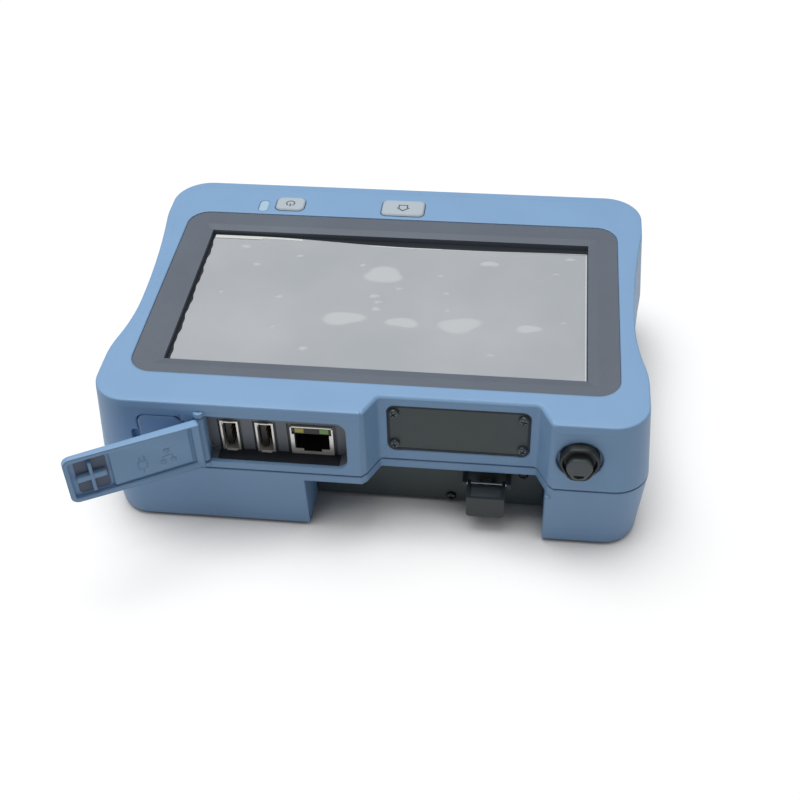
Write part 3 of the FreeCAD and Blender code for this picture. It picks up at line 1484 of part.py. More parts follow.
def make_inside():
    body = new_body("chassis_frame")
    add(body, "XY", chassis_bottom, S.chassis_top, rectangle(
        -S.chassis_half, bay_wall_inside + PAST, S.chassis_half, S.chassis_far, S.inner_corner / 2))
    cut(body, "XY", chassis_bottom - PAST, S.chassis_top,
        rectangle(S.battery_left + S.inner_corner, S.board_post_near + S.inner_corner,
                  S.battery_right - S.inner_corner, S.board_post_far - S.inner_corner))
    add(body, "XY", S.chassis_top - ROOTED, board_bottom,
        circles(S.post_radius, *board_screws_at))
    cut(body, "XY", chassis_bottom - PAST, board_bottom,
        circles(S.small_screw + S.screw_play, *board_screws_at),
        circles(S.small_screw + S.screw_play, *chassis_screws_at))

    body = new_body("main_board")
    tongue_near = port_back + S.plate_thick + S.cover_gap
    left = S.window_left - S.panel_lap
    add(body, "XY", board_bottom, S.board_top, polygon(
        (left, tongue_near), (S.window_right, tongue_near), (S.window_right, S.board_near),
        (S.board_half, S.board_near), (S.board_half, S.board_far), (left, S.board_far)))
    add(body, "XY", S.board_top - ROOTED, S.board_top + S.chip_tall,
        centred(zero, S.chip_near, S.processor_wide, S.processor_wide),
        *[centred(S.chip_pitch * side, S.chip_far, S.chip_wide, S.chip_wide)
          for side in (-1, 1)])
    add(body, "XY", S.board_top - ROOTED, S.board_top + S.supply_tall,
        *[centred(S.chip_pitch * side, S.chip_near, S.supply_wide, S.supply_wide)
          for side in (-1, 1)])
    cut(body, "XY", board_bottom - PAST, S.board_top,
        circles(S.small_screw + S.screw_play, *board_screws_at))

    body = new_body("battery_pack")
    add(body, "XY", door_top, door_top + S.battery_tall, battery_shape(zero))
    dress(body, "Fillet", S.inner_corner / 4, lambda edge: (
        edge.BoundBox.ZLength > S.battery_tall.mm * 0.9))

    body = new_body("battery_door")
    add(body, "XY", base_z, door_top, door_shape(S.door_fit, S.option_corner - S.door_fit))
    cut(body, "XY", base_z - PAST, door_top, circles(S.small_screw + S.screw_play, *door_screws_at))
    cut(body, "XY", base_z - PAST, base_z + S.door_thick / 2, circles(
        S.small_screw_head + S.screw_play * 4, *door_screws_at))

    body = new_body("optical_module")
    top = floor_z + S.module_tall
    add(body, "XY", floor_z, top, rectangle(
        S.module_left, S.module_near, S.module_right, S.module_far, S.option_corner))
    add(body, "XY", top, top + S.rib, rectangle(
        S.module_left - S.ear_step, S.module_near, S.module_right + S.ear_step, S.module_far,
        S.option_corner))
    add(body, "XZ", bay_wall_inside, S.module_near + PAST,
        circles(S.post_radius, (S.optic_x, S.optic_z)))

    coil_x = (S.module_left + S.module_right) / 2
    coil_y = (S.module_near + S.module_far) / 2
    tray_low = top + S.rib
    body = new_body("fibre_tray")
    add(body, "XY", tray_low, tray_low + S.tray_tall, rectangle(
        S.module_left + S.rib, S.module_near + S.rib,
        S.module_right - S.rib, S.module_far - S.rib))
    cut(body, "XY", tray_low + S.tray_tall / 3, tray_low + S.tray_tall, rectangle(
        S.module_left + S.rib * 2, S.module_near + S.rib * 2,
        S.module_right - S.rib * 2, S.module_far - S.rib * 2))

    body = new_body("fibre_coil")
    coil_low = tray_low + S.tray_tall / 3
    add(body, "XY", coil_low, coil_low + S.coil_thick * 2,
        circles(S.coil_radius + S.coil_thick, (coil_x, coil_y)),
        circles(S.coil_radius - S.coil_thick, (coil_x, coil_y)))


# ---------------------------------------------------------------- stand and feet


def make_tilt_stand():
    body = new_body("tilt_stand")
    low = base_z + S.stand_gap
    add(body, "XY", low, low + S.stand_thick, rectangle(
        -S.stand_half, S.stand_pivot_y, S.stand_half, S.stand_far, S.option_corner))
    cut(body, "XY", low - PAST, low + S.stand_thick, rectangle(
        -S.stand_half + S.stand_leg, S.stand_pivot_y - PAST,
        S.stand_half - S.stand_leg, S.stand_far - S.stand_leg, S.option_corner))
    inner = S.stand_half - S.stand_leg
    for left, right in ((-S.stand_half, -inner), (inner, S.stand_half)):
        add(body, "YZ", left, right, circles(S.stand_barrel, (S.stand_pivot_y, stand_pivot_z)))
    add(body, "XY", low + ROOTED, low + S.stand_thick - ROOTED, rectangle(
        -S.stand_half + S.rib, S.stand_pivot_y, S.stand_half - S.rib,
        S.stand_pivot_y + S.stand_leg))
    cut(body, "YZ", -S.stand_half - PAST, S.stand_half + PAST,
        circles(S.stand_pin + S.pin_play, (S.stand_pivot_y, stand_pivot_z)))

    reach = S.stand_half + S.stand_gap + S.stand_lug - PAST
    pins = [
        primitive("Cylinder", f"stand_pin_{n}", (left, S.stand_pivot_y, stand_pivot_z), ACROSS,
                  Radius=S.stand_pin, Height=reach - inner)
        for n, left in enumerate((-reach, inner))
    ]
    group("stand_pins", pins)


def make_feet():
    feet = []
    for n, (x, y) in enumerate(feet_at):
        body = new_body(f"foot_{n}")
        add(body, "XY", zero, base_z + S.foot_sink, circles(S.foot_radius, (x, y)))
        dress(body, "Chamfer", S.ear_step * 2, at_level("Z", zero))
        feet.append(body)
    group("rubber_feet", feet)


# ---------------------------------------------------------------- screws


def make_screw(name, shank, head, height, length):
    """A pan-head screw drawn head up, its seat at the origin."""
    body = doc.addObject("PartDesign::Body", name)
    return turn(body, polygon(
        (zero, -length), (shank, -length), (shank, zero), (head, zero),
        (head * 0.9, height), (zero, height)))


def screws(name, pattern, places, turned):
    """One node of equal screws, their seats at the places and their heads turned outwards."""
    copies = []
    for n, (x, y, z) in enumerate(places):
        copy = doc.addObject("App::Link", f"{name}_{n}")
        copy.LinkedObject = pattern
        copy.LinkPlacement = Placement(Vector(0, 0, 0), turned)
        for axis, size in zip("xyz", (as_size(x), as_size(y) + S.case_shift, as_size(z))):
            copy.setExpression(f"LinkPlacement.Base.{axis}", size.formula)
        copies.append(copy)
    group(name, copies)


def make_screws():
    long_screw = make_screw("long_screw", S.case_screw, S.case_screw_head, S.rib * 1.5,
                            S.case_screw_length)
    screws("case_screws", long_screw, [(x, y, S.case_seat) for x, y in case_screws_at],
           DOWNWARD)
    short = make_screw("short_screw", S.small_screw, S.small_screw_head, S.rib,
                       S.small_screw_short)
    ear = make_screw("ear_screw", S.small_screw, S.small_screw_head, S.rib,
                     S.ear_screw_length)
    screws("display_screws", ear,
           [(x, y, panel_top - S.ear_sheet) for x, y in display_screws_at], DOWNWARD)
    screws("keypad_screws", short,
           [(x, y, keypad_top - S.board_thick) for x, y in keypad_screws_at], DOWNWARD)
    screws("board_screws", short, [(x, y, S.board_top) for x, y in board_screws_at], Rotation())
    screws("chassis_screws", short,
           [(x, y, S.chassis_top) for x, y in chassis_screws_at], Rotation())
    screws("option_plate_screws", short,
           [(x, option_seat - S.option_thick, z) for x, z in option_screws_at], FORWARD)
    flat = make_screw("flat_screw", S.small_screw, S.small_screw_head, S.door_thick / 2 - 0.05,
                      S.small_screw_short)
    screws("battery_door_screws", flat,
           [(x, y, base_z + S.door_thick / 2) for x, y in door_screws_at], DOWNWARD)
    screws("optical_port_screws", short,
           [(x, S.bay_back - S.optic_plate, z) for x, z in optic_screws_at], FORWARD)


# ---------------------------------------------------------------- the whole unit

make_front_shell()
make_rear_shell()
make_housing_seal()
make_display_bezel()
make_display()
make_key("power_button", power_key)
make_key("home_button", home_key)
make_keypad()
make_port_panel()
make_usb("left", S.usb_left)
make_usb("right", S.usb_right)
make_ethernet()
make_port_flap()
make_charging_jack()
make_option_plate()
make_stylus()
make_optical_port()
make_inside()
make_tilt_stand()
make_feet()
make_screws()
doc.recompute()

NODES = [
    "front_shell", "rear_shell", "housing_seal", "display_bezel", "touch_panel", "screen_film",
    "display_gasket", "lcd_module", "power_button", "home_button", "status_lamp",
    "keypad_board", "port_panel", "usb_shell_left", "usb_shell_right", "usb_tongue_left",
    "usb_tongue_right", "ethernet_shield", "ethernet_body", "link_lamps", "ethernet_contacts",
    "port_flap", "flap_hinge_pin", "dc_cover", "dc_cover_pin", "dc_jack", "option_plate",
    "stylus_head", "stylus_barrel", "stylus_tip", "stylus_tube", "optical_port_plate",
    "fibre_adapter", "ceramic_sleeve", "dust_cap", "dust_cap_pin", "chassis_frame",
    "main_board", "battery_pack", "battery_door", "optical_module", "fibre_tray",
    "fibre_coil", "tilt_stand", "stand_pins", "rubber_feet", "case_screws", "display_screws",
    "keypad_screws", "board_screws", "chassis_screws", "option_plate_screws",
    "battery_door_screws", "optical_port_screws",
]

failed = [
    thing.Name for thing in doc.Objects
    if "Invalid" in thing.State or "Error" in thing.State
]
if failed:
    raise RuntimeError(f"objects that failed: {failed}")
shapes = {name: doc.getObjectsByLabel(name)[0].Shape for name in NODES}
for name, shape in shapes.items():
    if shape.isNull() or not shape.isValid() or not shape.Solids:
        raise RuntimeError(f"{name} has no sound solid")
for name, shape in shapes.items():
    shape.exportStep(f"parts/{name}.step")
print(len(shapes), "nodes,", sum(len(shape.Solids) for shape in shapes.values()), "solids")
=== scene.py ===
"""Looks of a handheld optical time domain reflectometer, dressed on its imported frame."""
import json
import math
import random

import bmesh
import bpy
from mathutils import Matrix, Vector


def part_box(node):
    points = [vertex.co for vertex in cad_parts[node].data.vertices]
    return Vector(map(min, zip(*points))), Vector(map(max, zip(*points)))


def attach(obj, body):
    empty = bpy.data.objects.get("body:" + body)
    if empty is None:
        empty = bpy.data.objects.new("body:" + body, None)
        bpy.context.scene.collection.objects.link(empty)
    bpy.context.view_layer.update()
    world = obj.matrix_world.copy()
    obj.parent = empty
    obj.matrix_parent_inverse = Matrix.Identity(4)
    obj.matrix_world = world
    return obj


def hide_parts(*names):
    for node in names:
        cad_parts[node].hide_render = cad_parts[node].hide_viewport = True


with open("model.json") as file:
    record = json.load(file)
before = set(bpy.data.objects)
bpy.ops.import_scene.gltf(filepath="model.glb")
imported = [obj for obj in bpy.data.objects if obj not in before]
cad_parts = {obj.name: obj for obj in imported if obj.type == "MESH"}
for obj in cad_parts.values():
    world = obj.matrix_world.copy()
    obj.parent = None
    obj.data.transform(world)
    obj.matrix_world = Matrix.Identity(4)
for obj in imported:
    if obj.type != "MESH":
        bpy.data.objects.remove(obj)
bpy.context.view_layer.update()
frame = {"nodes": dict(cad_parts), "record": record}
nodes = frame["nodes"]

MM = 0.001


def srgb(red, green, blue):
    """A colour given as it looks on a display, in 0 to 255, as the linear values of a shader."""
    def linear(value):
        value = value / 255
        return value / 12.92 if value <= 0.04045 else ((value + 0.055) / 1.055) ** 2.4
    return tuple(linear(value) for value in (red, green, blue)) + (1.0,)


# ---------------------------------------------------------------- materials


class Shader:
    """A material under construction: a Principled shader and the nodes that feed it."""

    def __init__(self, name, colour, roughness=0.5, metallic=0.0, **sockets):
        self.material = bpy.data.materials.new(name)
        self.material.use_nodes = True
        self.tree = self.material.node_tree
        self.surface = self.tree.nodes["Principled BSDF"]
        self.set("Base Color", colour)
        self.set("Roughness", roughness)
        self.set("Metallic", metallic)
        for socket, value in sockets.items():
            self.set(socket.replace("_", " "), value)

    def set(self, socket, value):
        self.surface.inputs[socket].default_value = value

    def add(self, kind, **settings):
        node = self.tree.nodes.new(kind)
        for key, value in settings.items():
            setattr(node, key, value)
        return node

    def link(self, output, target):
        self.tree.links.new(output, target)

    def where(self):
        """Position on the object, in metres."""
        return self.add("ShaderNodeTexCoord").outputs["Object"]

    def noise(self, size, detail=2.0, roughness=0.5):
        """Noise whose features are about size metres across."""
        node = self.add("ShaderNodeTexNoise")
        node.inputs["Scale"].default_value = 1 / size
        node.inputs["Detail"].default_value = detail
        node.inputs["Roughness"].default_value = roughness
        self.link(self.where(), node.inputs["Vector"])
        return node.outputs["Fac"]

    def ramp(self, value, low, high, low_colour, high_colour):
        node = self.add("ShaderNodeValToRGB")
        node.color_ramp.elements[0].position = low
        node.color_ramp.elements[0].color = low_colour
        node.color_ramp.elements[1].position = high
        node.color_ramp.elements[1].color = high_colour
        self.link(value, node.inputs["Fac"])
        return node.outputs["Color"]

    def spread(self, value, low, high):
        """The value, from 0 to 1, carried to the range low to high."""
        node = self.add("ShaderNodeMapRange")
        node.inputs["To Min"].default_value = low
        node.inputs["To Max"].default_value = high
        self.link(value, node.inputs["Value"])
        return node.outputs["Result"]

    def bump(self, height, depth, strength=1.0, edge=0.0):
        """Surface relief of the given depth in metres, over edges eased by a radius in metres."""
        node = self.add("ShaderNodeBump")
        node.inputs["Distance"].default_value = depth
        node.inputs["Strength"].default_value = strength
        self.link(height, node.inputs["Height"])
        if edge:
            eased = self.add("ShaderNodeBevel", samples=6)
            eased.inputs["Radius"].default_value = edge
            self.link(eased.outputs["Normal"], node.inputs["Normal"])
        self.link(node.outputs["Normal"], self.surface.inputs["Normal"])


def moulded(name, colour, shade, roughness=0.45, grain=0.00035, depth=0.00003, edge=0.0):
    """Spark-eroded moulded plastic: fine grain, and slow changes of colour and gloss."""
    shader = Shader(name, colour, roughness)
    slow = shader.noise(0.03, 3.0)
    shader.link(shader.ramp(slow, 0.35, 0.65, shade, colour), shader.surface.inputs["Base Color"])
    shader.link(shader.spread(shader.noise(0.004), roughness - 0.06, roughness + 0.06),
                shader.surface.inputs["Roughness"])
    shader.bump(shader.noise(grain, 2.0), depth, edge=edge)
    return shader.material


def metal(name, colour, roughness=0.3, grain=0.0004, share=1.0):
    """Bare metal with a faint uneven sheen. A share under 1 is dull plating."""
    shader = Shader(name, colour, roughness, share)
    shader.link(shader.spread(shader.noise(grain, 3.0), roughness - 0.08, roughness + 0.1),
                shader.surface.inputs["Roughness"])
    shader.bump(shader.noise(grain), 0.000004)
    return shader.material


def film(name):
    """Clear film over an unlit display: pale grey, in part a painted reflection, with slow patches of
    painted reflection, and paler where bubbles are trapped under it.
    """
    shader = Shader(name, srgb(182, 186, 190), 0.16)
    # Painted reflection: slow patches of paler and darker grey across the film.
    painted_reflection_patches = shader.ramp(shader.noise(0.05, 3.0), 0.34, 0.66, srgb(176, 181, 186),
                         srgb(187, 190, 194))
    trapped = shader.add("ShaderNodeAttribute", attribute_name="trapped_air")
    mixed = shader.add("ShaderNodeMixRGB")
    mixed.inputs["Color2"].default_value = srgb(198, 202, 205)
    shader.link(trapped.outputs["Fac"], mixed.inputs["Fac"])
    shader.link(painted_reflection_patches, mixed.inputs["Color1"])
    shader.link(mixed.outputs["Color"], shader.surface.inputs["Base Color"])
    shader.bump(shader.noise(0.006, 2.0), 0.00004, 0.3)
    return shader.material


materials = {
    "shell_blue": moulded("shell_blue", srgb(134, 172, 211), srgb(131, 169, 208), edge=0.0012),
    "base_blue": moulded("base_blue", srgb(132, 169, 208), srgb(129, 166, 205), edge=0.0012),
    "shell_blue_plain": moulded("shell_blue_plain", srgb(134, 172, 211), srgb(131, 169, 208)),
    "base_blue_plain": moulded("base_blue_plain", srgb(132, 169, 208), srgb(129, 166, 205)),
    "soft_black": moulded("soft_black", srgb(44, 50, 58), srgb(40, 46, 54), 0.7),
    "bezel_black": moulded("bezel_black", srgb(101, 110, 122), srgb(98, 106, 118), 0.42, 0.0003),
    "key_grey": moulded("key_grey", srgb(186, 197, 206), srgb(183, 194, 203), 0.4),
    "lamp_grey": moulded("lamp_grey", srgb(176, 206, 228), srgb(172, 202, 224), 0.25),
    "panel_black": moulded("panel_black", srgb(64, 75, 77), srgb(61, 72, 74), 0.5),
    "panel_grey": moulded("panel_grey", srgb(116, 122, 130), srgb(112, 118, 126), 0.45),
    "port_steel": metal("port_steel", srgb(238, 236, 230), 0.3, share=0.5),
    "bay_grey": moulded("bay_grey", srgb(92, 104, 126), srgb(88, 100, 122), 0.5),
    "tongue_black": moulded("tongue_black", srgb(34, 34, 36), srgb(31, 31, 33), 0.4),
    "contact_gold": metal("contact_gold", srgb(232, 190, 100), 0.2),
    "lamp_amber": moulded("lamp_amber", srgb(190, 180, 70), srgb(180, 172, 60), 0.2),
    "lamp_green": moulded("lamp_green", srgb(120, 180, 80), srgb(112, 172, 72), 0.2),
    "stylus_black": moulded("stylus_black", srgb(34, 40, 42), srgb(31, 37, 39), 0.5),
    "stylus_face": moulded("stylus_face", srgb(80, 88, 91), srgb(77, 85, 88), 0.5),
    "tip_grey": moulded("tip_grey", srgb(150, 150, 152), srgb(145, 145, 147), 0.4),
    "tube_grey": moulded("tube_grey", srgb(120, 122, 124), srgb(115, 117, 119), 0.6),
    "cap_black": moulded("cap_black", srgb(48, 55, 58), srgb(45, 52, 55), 0.45),
    "cap_grey": moulded("cap_grey", srgb(72, 80, 84), srgb(69, 77, 81), 0.4),
    "pin_steel": metal("pin_steel", srgb(225, 225, 225), 0.2),
    "screw_black": metal("screw_black", srgb(66, 68, 70), 0.35),
    "screw_grey": metal("screw_grey", srgb(92, 99, 102), 0.45, share=0.7),
    "screw_steel": metal("screw_steel", srgb(200, 200, 200), 0.3),
    "adapter_metal": metal("adapter_metal", srgb(208, 204, 192), 0.25),
    "ceramic_white": moulded("ceramic_white", srgb(236, 234, 228), srgb(232, 230, 224), 0.2),
    "chassis_metal": metal("chassis_metal", srgb(196, 198, 200), 0.4),
    "board_green": moulded("board_green", srgb(30, 92, 56), srgb(26, 84, 50), 0.35),
    "battery_grey": moulded("battery_grey", srgb(78, 80, 82), srgb(72, 74, 76), 0.6),
    "fibre_yellow": moulded("fibre_yellow", srgb(226, 204, 80), srgb(220, 196, 70), 0.3),
    "screen_glass": moulded("screen_glass", srgb(50, 54, 60), srgb(47, 51, 57), 0.08),
    "screen_grey": film("screen_grey"),
    # Near-white of the film's cut edge: a painted highlight
    "film_edge_highlight": moulded("film_edge_highlight", srgb(226, 228, 226), srgb(220, 222, 220), 0.2),
    "print_grey": moulded("print_grey", srgb(88, 92, 98), srgb(84, 88, 94), 0.5),
}

slot_of = {part["node"]: part["material_slot"] for part in frame["record"]["subparts"]}
for name, thing in nodes.items():
    thing.data.materials.clear()
    thing.data.materials.append(materials[slot_of[name]])
nodes["port_panel"].data.materials[0] = materials["panel_grey"]


# ---------------------------------------------------------------- mesh helpers

shell_low, shell_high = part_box("rear_shell")
CASE_MIDDLE = 1.4                 # middle of the rear shell along Y, in the case's own frame
shift = (shell_low.y + shell_high.y) / 2 - CASE_MIDDLE * MM


def at(x, y, z):
    """A point given in millimetres in the case's own frame."""
    return Vector((x * MM, y * MM + shift, z * MM))


def piece(name, mesh, material, body="housing", smooth=True):
    """A finished piece of the object, riding on a body."""
    mesh.name = name
    mesh.materials.clear()
    mesh.materials.append(materials[material])
    thing = bpy.data.objects.new(name, mesh)
    bpy.context.scene.collection.objects.link(thing)
    for face in mesh.polygons:
        face.use_smooth = smooth
    if smooth:
        mesh.set_sharp_from_angle(angle=math.radians(35))
    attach(thing, body)
    return thing


def mesh_of(form):
    """The mesh of a form under construction, its faces turned outwards. The form is used up."""
    mesh = bpy.data.meshes.new("form")
    bmesh.ops.recalc_face_normals(form, faces=form.faces)
    form.to_mesh(mesh)
    form.free()
    return mesh


def prism(loop, low, high, bevel=0.0, form=None):
    """A loop of (u, v) in millimetres, drawn up from low to high along the third axis."""
    form = form or bmesh.new()
    bottom = [form.verts.new((u * MM, v * MM, low * MM)) for u, v in loop]
    top = [form.verts.new((u * MM, v * MM, high * MM)) for u, v in loop]
    faces = [form.faces.new(reversed(bottom)), form.faces.new(top)]
    count = len(loop)
    for n in range(count):
        after = (n + 1) % count
        faces.append(form.faces.new((bottom[n], bottom[after], top[after], top[n])))
    if bevel:
        bmesh.ops.bevel(form, geom=list(faces[1].edges), offset=bevel * MM, segments=2, affect="EDGES",
                        profile=0.5)
    return form


def rounded(left, low, right, high, corner, steps=6):
    """Outline of a rectangle with round corners."""
    loop = []
    for x, y, start in ((right - corner, low + corner, -90), (right - corner, high - corner, 0),
                        (left + corner, high - corner, 90), (left + corner, low + corner, 180)):
        for step in range(steps + 1):
            angle = math.radians(start + 90 * step / steps)
            loop.append((x + corner * math.cos(angle), y + corner * math.sin(angle)))
    return loop


def skin(rings, closed_start=True, closed_end=True):
    """Skin over rings of points that have equal counts."""
    form = bmesh.new()
    made = [[form.verts.new(point) for point in ring] for ring in rings]
    count = len(rings[0])
    for lower, upper in zip(made, made[1:]):
        for n in range(count):
            after = (n + 1) % count
            form.faces.new((lower[n], lower[after], upper[after], upper[n]))
    if closed_start:
        form.faces.new(reversed(made[0]))
    if closed_end:
        form.faces.new(made[-1])
    return form


def lathe(profile, segments=32):
    """A profile of (radius, height) in millimetres turned about the third axis."""
    rings = []
    for radius, height in profile:
        rings.append([
            Vector((radius * math.cos(2 * math.pi * n / segments) * MM,
                    radius * math.sin(2 * math.pi * n / segments) * MM, height * MM))
            for n in range(segments)])
    return skin(rings)


def carved(mesh, cutter):
    """The mesh with the cutter taken out of it."""
    things = []
    for part in (mesh, cutter):
        thing = bpy.data.objects.new("carving", part)
        bpy.context.scene.collection.objects.link(thing)
        things.append(thing)
    modifier = things[0].modifiers.new("carve", "BOOLEAN")
    modifier.operation = "DIFFERENCE"
    modifier.object = things[1]
    modifier.solver = "EXACT"
    bpy.context.view_layer.update()
    graph = bpy.context.evaluated_depsgraph_get()
    result = bpy.data.meshes.new_from_object(things[0].evaluated_get(graph))
    for thing in things:
        bpy.data.objects.remove(thing)
    return result


def copies(mesh, places):
    """One mesh of several copies, each at a matrix."""
    form = bmesh.new()
    for place in places:
        part = mesh.copy()
        part.transform(place)
        form.from_mesh(part)
        bpy.data.meshes.remove(part)
    return mesh_of(form)


def band(outer, inner, low, high):
    """A frame between two loops of (u, v) in millimetres, drawn up from low to high."""
    form = bmesh.new()
    made = [[form.verts.new((u * MM, v * MM, level * MM)) for u, v in loop]
            for level in (low, high) for loop in (outer, inner)]
    for first, second in ((0, 1), (2, 3), (0, 2), (1, 3)):
        for n in range(len(outer)):
            after = (n + 1) % len(outer)
            form.faces.new((made[first][n], made[first][after],
                            made[second][after], made[second][n]))
    return form


# What points up is turned towards -Y, or downwards
FORWARD = Matrix.Rotation(math.radians(90), 4, "X")
DOWNWARD = Matrix.Rotation(math.radians(180), 4, "X")


def stood(point, turn=None):
    """The matrix that turns a thing and then stands it at a point."""
    return Matrix.Translation(point) @ (turn or Matrix())


# ---------------------------------------------------------------- case


def wall_line(node, level):
    """Points around a shell at the height where its walls begin to turn in, in order."""
    mesh = nodes[node].data
    close = 0.02 * MM
    after, spots = {}, {}
    for edge in mesh.edges:
        ends = [mesh.vertices[n].co for n in edge.vertices]
        level_run = all(abs(point.z - level) < close for point in ends)
        if level_run and (ends[0] - ends[1]).length > close:
            keys = [(round(point.x / close), round(point.y / close)) for point in ends]
            spots.update(zip(keys, ends))
            after.setdefault(keys[0], set()).add(keys[1])
            after.setdefault(keys[1], set()).add(keys[0])
    loose = [key for key in after if len(after[key]) == 1]
    near_left = min(after, key=lambda key: (key[1], key[0]))
    chain = [min(loose) if loose else near_left]
    seen = set(chain)
    while True:
        ahead = sorted(key for key in after[chain[-1]] if key not in seen)
        if not ahead:
            return [spots[key].copy() for key in chain], not loose
        chain.append(ahead[0])
        seen.add(ahead[0])


def edge_strip(name, node, flat, turn, lean, small):
    """A crisp edge laid over the wide round of a shell, between its wall and its flat side.

    flat is the height of the flat side and turn the round of the CAD solid, negative where the
    flat side is the upper one. lean is how far the wall draws in over that round, and small the
    round of the crisp edge, all in millimetres.
    """
    chain, closed = wall_line(node, flat + turn * MM)
    wide = abs(turn)
    up = 1 if turn > 0 else -1
    section = [(-0.03 - lean * 0.3, wide * 1.25), (lean, small)]
    for step in range(1, 6):
        angle = math.radians(90 * step / 5)
        section.append((lean + small * (1 - math.cos(angle)), small * (1 - math.sin(angle))))
    section += [(wide + 1.5, -0.02), (wide + 1.5, 0.05), (wide * 0.57, wide * 0.17),
                (wide * 0.2, wide * 0.53), (wide * 0.07, wide * 1.25)]
    area = sum(p.x * q.y - q.x * p.y for p, q in zip(chain, chain[1:] + chain[:1]))
    side = 1 if area > 0 else -1
    rings = []
    count = len(chain)
    for n, point in enumerate(chain):
        before = chain[n - 1] if n or closed else point
        later = chain[(n + 1) % count] if n + 1 < count or closed else point
        come, leave = (point - before), (later - point)
        come = (come if come.length else leave).normalized()
        leave = (leave if leave.length else come).normalized()
        inward = side * Vector((-come.y - leave.y, come.x + leave.x, 0))
        inward *= 2 / inward.length_squared
        rings.append([Vector((point.x, point.y, flat)) + inward * inset * MM
                      + Vector((0, 0, up * rise * MM)) for inset, rise in section])
    if closed:
        rings.append(rings[0])
    form = skin(rings, not closed, not closed)
    bmesh.ops.remove_doubles(form, verts=form.verts, dist=0.001 * MM)
    slot = slot_of[node]
    piece(name, mesh_of(form), slot + "_plain")


def make_case_edges():
    """The crisp lower edge of the case, and the crisp edge of its face."""
    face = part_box("front_shell")[1].z
    edge_strip("base_edge", "rear_shell", shell_low.z, turn=6.0, lean=0.33, small=1.5)
    edge_strip("face_edge", "front_shell", face, turn=-2.5, lean=0.19, small=0.7)


# ---------------------------------------------------------------- screen


def smooth_step(value, low, high):
    """0 below low, 1 above high, and an eased slope between them."""
    share = min(max((value - low) / (high - low), 0.0), 1.0)
    return share * share * (3 - 2 * share)


def trapped_bubbles():
    """Bubbles under the film: each its middle, as shares of the film's two sides, and its size."""
    chance = random.Random(11)
    large = [(0.4, 0.37, 8.0), (0.55, 0.36, 6.0), (0.69, 0.36, 8.5), (0.48, 0.72, 9.0),
             (0.86, 0.36, 4.5), (0.75, 0.85, 3.5)]
    small = [(chance.uniform(0.06, 0.96), chance.uniform(0.08, 0.92), chance.uniform(0.8, 2.0))
             for _ in range(20)]
    return [(u, v, size, chance.uniform(0, 6.28)) for u, v, size in large + small]


def make_screen():
    """The protective film on the display: wavy, short of the bezel, with air trapped under it."""
    low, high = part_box("screen_film")
    across, along = 200, 120
    width, depth = high.x - low.x, high.y - low.y
    bubbles = trapped_bubbles()

    def far_gap(u):
        """How far the film stops short of the bezel at the far side, in millimetres. The dark glass
        bared by the wider gap towards the right is partly the display's dark border and partly painted
        shade of the bezel.
        """
        return 1.0 + 3.0 * smooth_step(u, 0.12, 0.55) - 0.8 * smooth_step(u, 0.7, 1.0)

    def left_gap(v):
        """How far it stops short at the left, where the cut is ragged, in millimetres. The dark glass
        bared there is painted shade along the bezel.
        """
        return 0.9 + 0.25 * math.sin(v * 31) + 0.15 * math.sin(v * 83 + 1)

    def air(x, y):
        """Height of the trapped air at a point, from 0 to 1."""
        best = 0.0
        for u, v, size, turn in bubbles:
            across_off = (x - low.x - u * width) / (size * MM)
            along_off = (y - low.y - v * depth) / (size * 0.55 * MM)
            far_off = math.hypot(across_off, along_off)
            if far_off < 1.6:
                way = math.atan2(along_off, across_off)
                uneven = 1 + 0.14 * math.sin(2 * way + turn) + 0.1 * math.sin(3 * way + 2 * turn)
                best = max(best, 1 - smooth_step(far_off / uneven, 0.75, 1.05))
        return best

    form = bmesh.new()
    rows, heights = [], []
    for j in range(along + 1):
        row = []
        v = j / along
        for i in range(across + 1):
            u = i / across
            left = low.x + left_gap(v) * MM
            far = high.y - far_gap(u) * MM
            x = left + (high.x + 0.2 * MM - left) * u
            y = low.y + (far - low.y) * v
            trapped = air(x, y)
            wave = 0.03 * math.sin(x * 61) * math.cos(y * 83 + x * 20)
            lift = 0.5 * smooth_step(v, 0.95, 1.0) * (1 - 0.8 * u)
            level = high.z + (0.03 + wave + lift + 0.14 * trapped) * MM
            row.append(form.verts.new((x, y, level)))
            heights.append(trapped)
        rows.append(row)
    for lower, upper in zip(rows, rows[1:]):
        for i in range(across):
            form.faces.new((lower[i], lower[i + 1], upper[i + 1], upper[i]))
    mesh = mesh_of(form)
    mesh.attributes.new("trapped_air", "FLOAT", "POINT").data.foreach_set("value", heights)
    sheet = piece("screen_sheet", mesh, "screen_grey")
    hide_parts("screen_film")

    # Painted highlights: near-white strips where the cut edge of the film catches the light along the
    # near side, the right and the far left; the wide strip at the far left also paints a reflection
    top = high.z / MM
    strips = bmesh.new()
    near, left, right = low.y / MM, low.x / MM + 0.9, high.x / MM
    prism([(left, near - 0.2), (right, near - 0.2), (right, near + 0.25), (left, near + 0.25)],
          top + 0.02, top + 0.12, form=strips)
    prism([(right - 0.35, near), (right - 0.05, near), (right - 0.05, high.y / MM - 3.2),
           (right - 0.35, high.y / MM - 3.2)], top + 0.02, top + 0.12, form=strips)
    steps = 40
    for wide, start, end in ((2.0, 0.0, 0.13), (1.2, 0.13, 0.24), (0.5, 0.24, 0.62),
                             (0.3, 0.62, 1.0)):
        outer, inner = [], []
        for step in range(steps + 1):
            u = start + (end - start) * step / steps
            x = left + (right - left) * u
            y = high.y / MM - far_gap(u)
            outer.append((x, y))
            inner.append((x, y - wide))
        prism(inner + outer[::-1], top + 0.3, top + 0.55 - 0.3 * end, form=strips)
    piece("screen_sheet_highlights", mesh_of(strips), "film_edge_highlight", smooth=False)


# ---------------------------------------------------------------- keys


